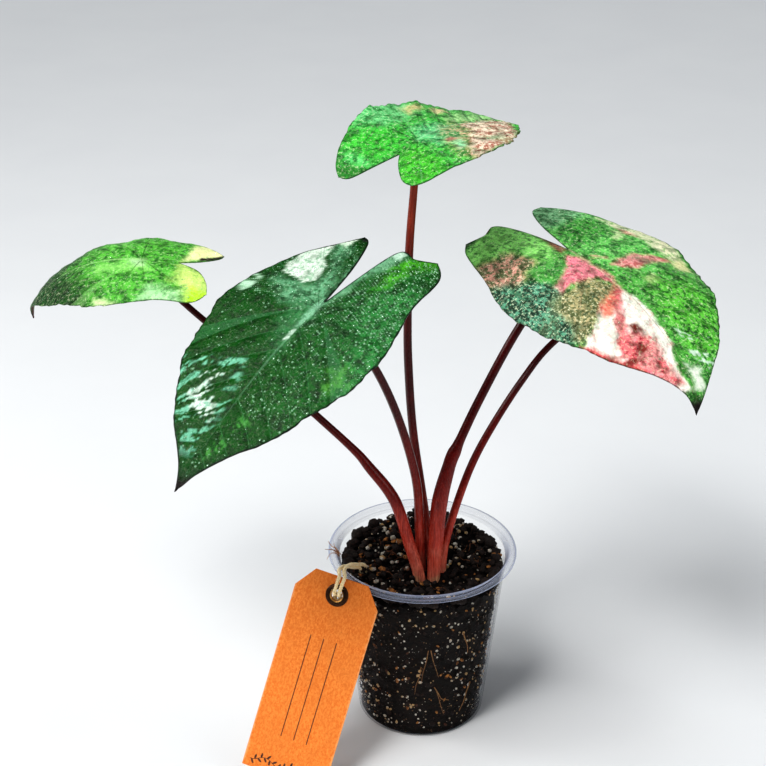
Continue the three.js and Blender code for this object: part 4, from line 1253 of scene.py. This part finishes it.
def tag_print():
    """Plain ruled lines to write on, and one leafy stem across the tag's foot."""
    bm = bmesh.new()

    def on_face(x, y, turn):
        return Matrix.Translation((x, y, TAG_FACE + INK_LIFT)) @ Matrix.Rotation(turn, 4, "Z")

    def stroke(x, y, turn, length, width):
        place = on_face(x, y, turn) @ Matrix.Diagonal((length, width, 1, 1))
        bmesh.ops.create_grid(bm, x_segments=1, y_segments=1, size=0.5, matrix=place)

    def leaflet(x, y, turn):
        place = on_face(x, y, turn) @ Matrix.Translation((LEAFLET_LENGTH / 2, 0, 0))
        place = place @ Matrix.Diagonal((LEAFLET_LENGTH / 2, LEAFLET_LENGTH * LEAFLET_SHAPE, 1, 1))
        bmesh.ops.create_circle(bm, cap_ends=True, segments=10, radius=1, matrix=place)

    for k in range(RULED_LINES):
        stroke(LINE_GAP * (k - 1), LINE_MIDDLE, math.pi / 2, LINE_LENGTH, LINE_WIDTH)
    wave, height = STEM_WAVE
    for k in range(STEM_STEPS):
        x = STEM_START + STEM_STEP * k
        y = EYELET_DROP - TAG_LENGTH + STEM_RISE + height * math.sin(wave * x)
        slope = math.atan(height * wave * math.cos(wave * x))
        stroke(x, y, slope, STEM_STEP + STEM_WIDTH, STEM_WIDTH)
        leaflet(x, y, slope + math.radians(LEAFLET_TURN if k % 2 else -LEAFLET_TURN))
    bmesh.ops.transform(bm, matrix=TAG_PLACE, verts=bm.verts)
    piece("tag_print", bm, "kraft", ink_finish(), flat=True)


def eyelet_finish():
    """Dark aged brass, with a painted highlight: bright brass round the bore's rolled edge."""
    f = Finish("aged_brass")
    here = tag_space(f)
    reach = f.node("VectorMath", {0: here}, operation="LENGTH").outputs["Value"]
    tarnish = f.noise(here, 0.9, 4, 0.6)
    # The bright ring round the bore is a painted highlight on the eyelet's rolled edge.
    base = f.coats("4c3220", (f.band(tarnish, 0.35, 0.65), "2c1c14"),
                   (f.band(reach, 3.4, 4.1, 1, 0), "c89858"))
    return f.surface(Base_Color=base, Metallic=0.85, Roughness=f.band(tarnish, 0.3, 0.7, 0.28, 0.5),
                     Normal=f.bump(tarnish, 0.08, 0.6))


def make_eyelet():
    """A rolled flange in front of the card, its barrel, and a plain flange behind."""
    face = TAG_FACE + EYELET_GAP
    bore, barrel, outer = EYELET_RADII
    section = [
        (bore, -face - 0.5), (outer - 1, -face - 0.5), (outer - 1, -face), (barrel, -face), (barrel, face),
        (outer, face), (outer - 0.08, face + 0.25), (outer - 0.4, face + 0.5), (outer - 1.1, face + 0.72),
        (barrel + 0.5, face + 0.95), (barrel, face + 0.9), (bore + 0.15, face + 0.6), (bore, face + 0.3)]
    bm = spun(section, 64, closed=True)
    bmesh.ops.transform(bm, matrix=TAG_PLACE, verts=bm.verts)
    piece("brass_eyelet", bm, "eyelet_metal", eyelet_finish(), replaced="tag_eyelet")


refinish("tag_card", kraft_finish())
tag_print()
make_eyelet()


TWINE_SPREAD = 1.3
TWINE_STEPS = 260
PLIES = 3
PLY_RADIUS = 0.50
PLY_REACH = 0.52                  # from the strand's middle to a ply's
TWIST_PITCH = 4.2
LOOSE_FIBRES = 70
FIBRE_RADII = np.linspace(0.07, 0.03, 4)
KNOT_AT = (0, -2.4, -TAG_FACE - 3.644)
KNOT_TILTS = (0.0, 1.1, 2.2)
KNOT_LOOP = 1.7
KNOT_ROPE = 0.8


def twine_route(side):
    """From the knot behind the tag, through the eyelet, over the rim and into the soil."""
    off = TWINE_SPREAD * side
    on_tag = [(off * 0.9, 0, -3.2), (off * 0.9, 0.1, 0.5), (off * 0.95, 1.5, 3), (off, 5.5, 2.7)]
    on_tag += [(off * 1.1, EYELET_DROP + 0.9, 1.9)]
    return [tuple(TAG_PLACE @ Vector(point)) for point in on_tag] + [
        (-42 + off, -31.5, 105.3), (-39.5 + off, -24 + off * 0.5, 102.9),
        (-35.2 + off, -16 + off, 97.5), (-31.5 + off, -9 + off, 92), (-30 + off, -7 + off, 82)]


def jute_finish():
    f = Finish("jute_twine")
    strands = f.noise(f.place(), 2.2, 5, 0.65)
    tone = f.blend(f.band(strands, 0.35, 0.65), "f0d090", "fff8dc")
    return f.surface(Base_Color=tone, Roughness=0.9, Normal=f.bump(strands, 0.12, 0.6),
                     Specular_IOR_Level=0.2)


def make_twine():
    """Two strands of three twisted plies each, a flat knot behind the tag, and loose fibres."""
    heap = Heap()
    rng = random.Random(51)
    for side in (-1, 1):
        centres, way = spline(twine_route(side), np.linspace(0, 1, TWINE_STEPS + 1))
        across, other = square_frame(way)
        for ply in range(PLIES):
            turn = TURN * (run_length(centres) / TWIST_PITCH + ply / PLIES)
            ring = np.cos(turn)[:, None] * across + np.sin(turn)[:, None] * other
            radii = np.full(TWINE_STEPS + 1, PLY_RADIUS)
            heap.add(tube, centres + PLY_REACH * ring, radii, 7, across, other)
        for _ in range(LOOSE_FIBRES):
            at = rng.randrange(20, TWINE_STEPS - 60)
            angle = rng.uniform(0, TURN)
            out = math.cos(angle) * across[at] + math.sin(angle) * other[at]
            start = centres[at] + 0.6 * out
            lean = way[at] * rng.uniform(-1.2, 1.2)
            end = start + 0.9 * rng.uniform(0.6, 1.4) * out + lean
            middle = (start + end) / 2 + 0.15 * out
            fine, heading = spline([start, middle, end], np.linspace(0, 1, len(FIBRE_RADII)))
            heap.add(tube, fine, FIBRE_RADII, 3, *square_frame(heading))
    knot = TAG_PLACE @ Matrix.Translation(KNOT_AT)
    circle = np.linspace(0, TURN, 49)
    for k, tilt in enumerate(KNOT_TILTS):
        loop = [KNOT_LOOP * np.cos(circle), 0.72 * KNOT_LOOP * np.sin(circle), 0.9 * np.sin(2 * circle + k)]
        loop = carried(knot @ Matrix.Rotation(tilt, 4, "Z"), np.stack(loop, 1))
        heading = np.gradient(loop, axis=0)
        heading /= np.linalg.norm(heading, axis=1)[:, None]
        heap.add(tube, loop, np.full(len(loop), KNOT_ROPE), 8, *square_frame(heading))
    piece("jute_twine", heap.finished(), "jute", jute_finish(), replaced="tag_twine")


make_twine()

# Dry fibres caught over the rim at its left, beside the twine
RIM_FIBRES = [
    [(-44.5, -4, 97.5), (-46.5, -5, 100.2), (-48.5, -6, 101.2), (-51.5, -7, 102.0)],
    [(-44.0, -5, 97.0), (-46.0, -6, 100.0), (-47.5, -7, 101.8), (-48.5, -9, 103.6)],
    [(-44.2, -3, 97.0), (-46.2, -3, 100.2), (-48.2, -2, 101.0), (-50.0, 0, 102.6)],
    [(-44.0, -6, 97.0), (-46.4, -7.5, 100.1), (-48.6, -9.5, 100.8), (-50.4, -12, 99.0)],
    [(-43.5, -4, 97.0), (-45.4, -4, 100.3), (-46.6, -4.4, 102.5), (-46.9, -5, 104.6)],
]
rim_skin = grain_finish("rim_fibres", "d8a888", "8c5c40", "a87450", 0.8)
fine_roots("rim_fibres", 33, RIM_FIBRES, 0.30, rim_skin)


# Water drops on the leaves: how many, their sizes, the seed, and how much more of them a place holds

DROPS = {
    "2": (2300, (0.20, 0.74), 61,
          lambda along, left: 0.3 + 1.0 * (left > 0) * (along < 0.6) + 1.4 * (along < 0.05)),
    "4": (600, (0.18, 0.50), 62, lambda along, left: 0.5 + 0.8 * (left < 0) * (along < 0.35)),
    "3": (260, (0.18, 0.50), 63, lambda along, left: 1),
    "1": (260, (0.18, 0.50), 64, lambda along, left: 1),
}
DRY_MARGIN = 1.2
DROP_HEIGHT = 0.55                # of a drop's radius
DROP_LIFT = 0.12


def water_finish():
    f = Finish("water_drops")
    # Painted glint: the drops' pale mint tone, part see-through, stands for the light the clear water
    # catches.
    tone = f.blend(f.noise(f.place(), 0.5), "c8f8d0", "84c494")
    return f.surface(Base_Color=tone, Alpha=0.38, Roughness=0.05, IOR=1.33, Specular_IOR_Level=0.8,
                     Coat_Weight=0.3, Coat_Roughness=0.03)


def drop(bm, middle, size, turn):
    """One low rounded drop."""
    place = Matrix.Translation(middle) @ turn @ Matrix.Diagonal((size, size, size * DROP_HEIGHT, 1))
    bmesh.ops.create_uvsphere(bm, u_segments=8, v_segments=5, radius=1, matrix=place)


def make_drops(name, finish, count, sizes, seed, holds):
    """Drops that sit on the upper face, more of them where the leaf holds them."""
    mesh = blades[name].data
    faces = mesh.polygons
    areas = np.zeros(len(faces))
    faces.foreach_get("area", areas)
    middles = np.array([face.center for face in faces]) / MM
    first = np.array([face.vertices[0] for face in faces])
    left = np.array([mesh.uv_layers["flat"].data[face.loop_start].uv.y for face in faces]) - 0.5
    weight = areas * holds(read_layer(mesh, "ahead")[first], left)
    weight *= read_layer(mesh, "margin")[first] > DRY_MARGIN
    rng = np.random.RandomState(seed)
    heap = Heap()
    for index in rng.choice(len(weight), count, replace=False, p=weight / weight.sum()):
        size = sizes[0] + (sizes[1] - sizes[0]) * rng.rand() ** 3
        upward = faces[index].normal
        stand_up = upward.to_track_quat("Z", "X").to_matrix().to_4x4()
        heap.add(drop, Vector(middles[index]) + upward * DROP_LIFT * size, size, stand_up)
    piece("drops_" + name, heap.finished(), "water", finish)


water = water_finish()
for name, values in DROPS.items():
    make_drops(name, water, *values)


# Floor and light, in metres

SOFTBOXES = [
    # name, place, the height it faces over the origin, side, power, tint
    ("key", (-0.45, -0.60, 1.25), 0.2, 0.35, 6, (1.0, 0.98, 0.95)),
    ("top", (0.10, 0.20, 1.45), 0.2, 0.4, 3, (0.97, 0.99, 1.0)),
    ("fill", (0.85, -0.70, 0.60), 0.2, 0.6, 2.5, (1.0, 0.99, 0.97)),
    ("left", (-1.00, 0.05, 0.75), 0.25, 0.5, 5, (1.0, 0.99, 0.97)),
]
FLOOR_DROP = 0.0002
FLOOR_SIDE = 12
SUN_STRENGTH = 1.75
SUN_SPREAD = 25
SUN_WAY = (0.45, 0.40, -1.0)
WORLD_TINT = (0.86, 0.92, 1.0, 1)
WORLD_STRENGTH = 0.16


def make_floor():
    bm = bmesh.new()
    bmesh.ops.create_grid(bm, x_segments=1, y_segments=1, size=FLOOR_SIDE / 2)
    floor = stand("floor", mesh_of("floor", bm))
    floor.location.z = -FLOOR_DROP
    f = Finish("pale_floor")
    tone = f.blend(f.noise(f.place(), 0.01, 4), "d6d8da", "dcdedf")
    floor.data.materials.append(f.surface(Base_Color=tone, Roughness=0.7))


def lamp(name, kind, power, way):
    data = bpy.data.lights.new(name, kind)
    data.energy = power
    made = stand(name, data)
    made.rotation_euler = Vector(way).to_track_quat("-Z", "Y").to_euler()
    return made


def make_lights():
    """Softboxes that face the plant's middle, and wide even light from the upper left, as from a window."""
    for name, where, height, side, power, tint in SOFTBOXES:
        box = lamp(name, "AREA", power, Vector((0, 0, height)) - Vector(where))
        box.location = where
        box.data.shape = "RECTANGLE"
        box.data.size = side
        box.data.size_y = side
        box.data.color = tint
    lamp("daylight", "SUN", SUN_STRENGTH, SUN_WAY).data.angle = math.radians(SUN_SPREAD)
    world = bpy.data.worlds.new("studio")
    world.use_nodes = True
    back = world.node_tree.nodes["Background"]
    back.inputs["Color"].default_value = WORLD_TINT
    back.inputs["Strength"].default_value = WORLD_STRENGTH
    bpy.context.scene.world = world


make_floor()
make_lights()
bpy.context.scene.view_settings.view_transform = "Standard"
bpy.context.scene.view_settings.look = "Medium High Contrast"
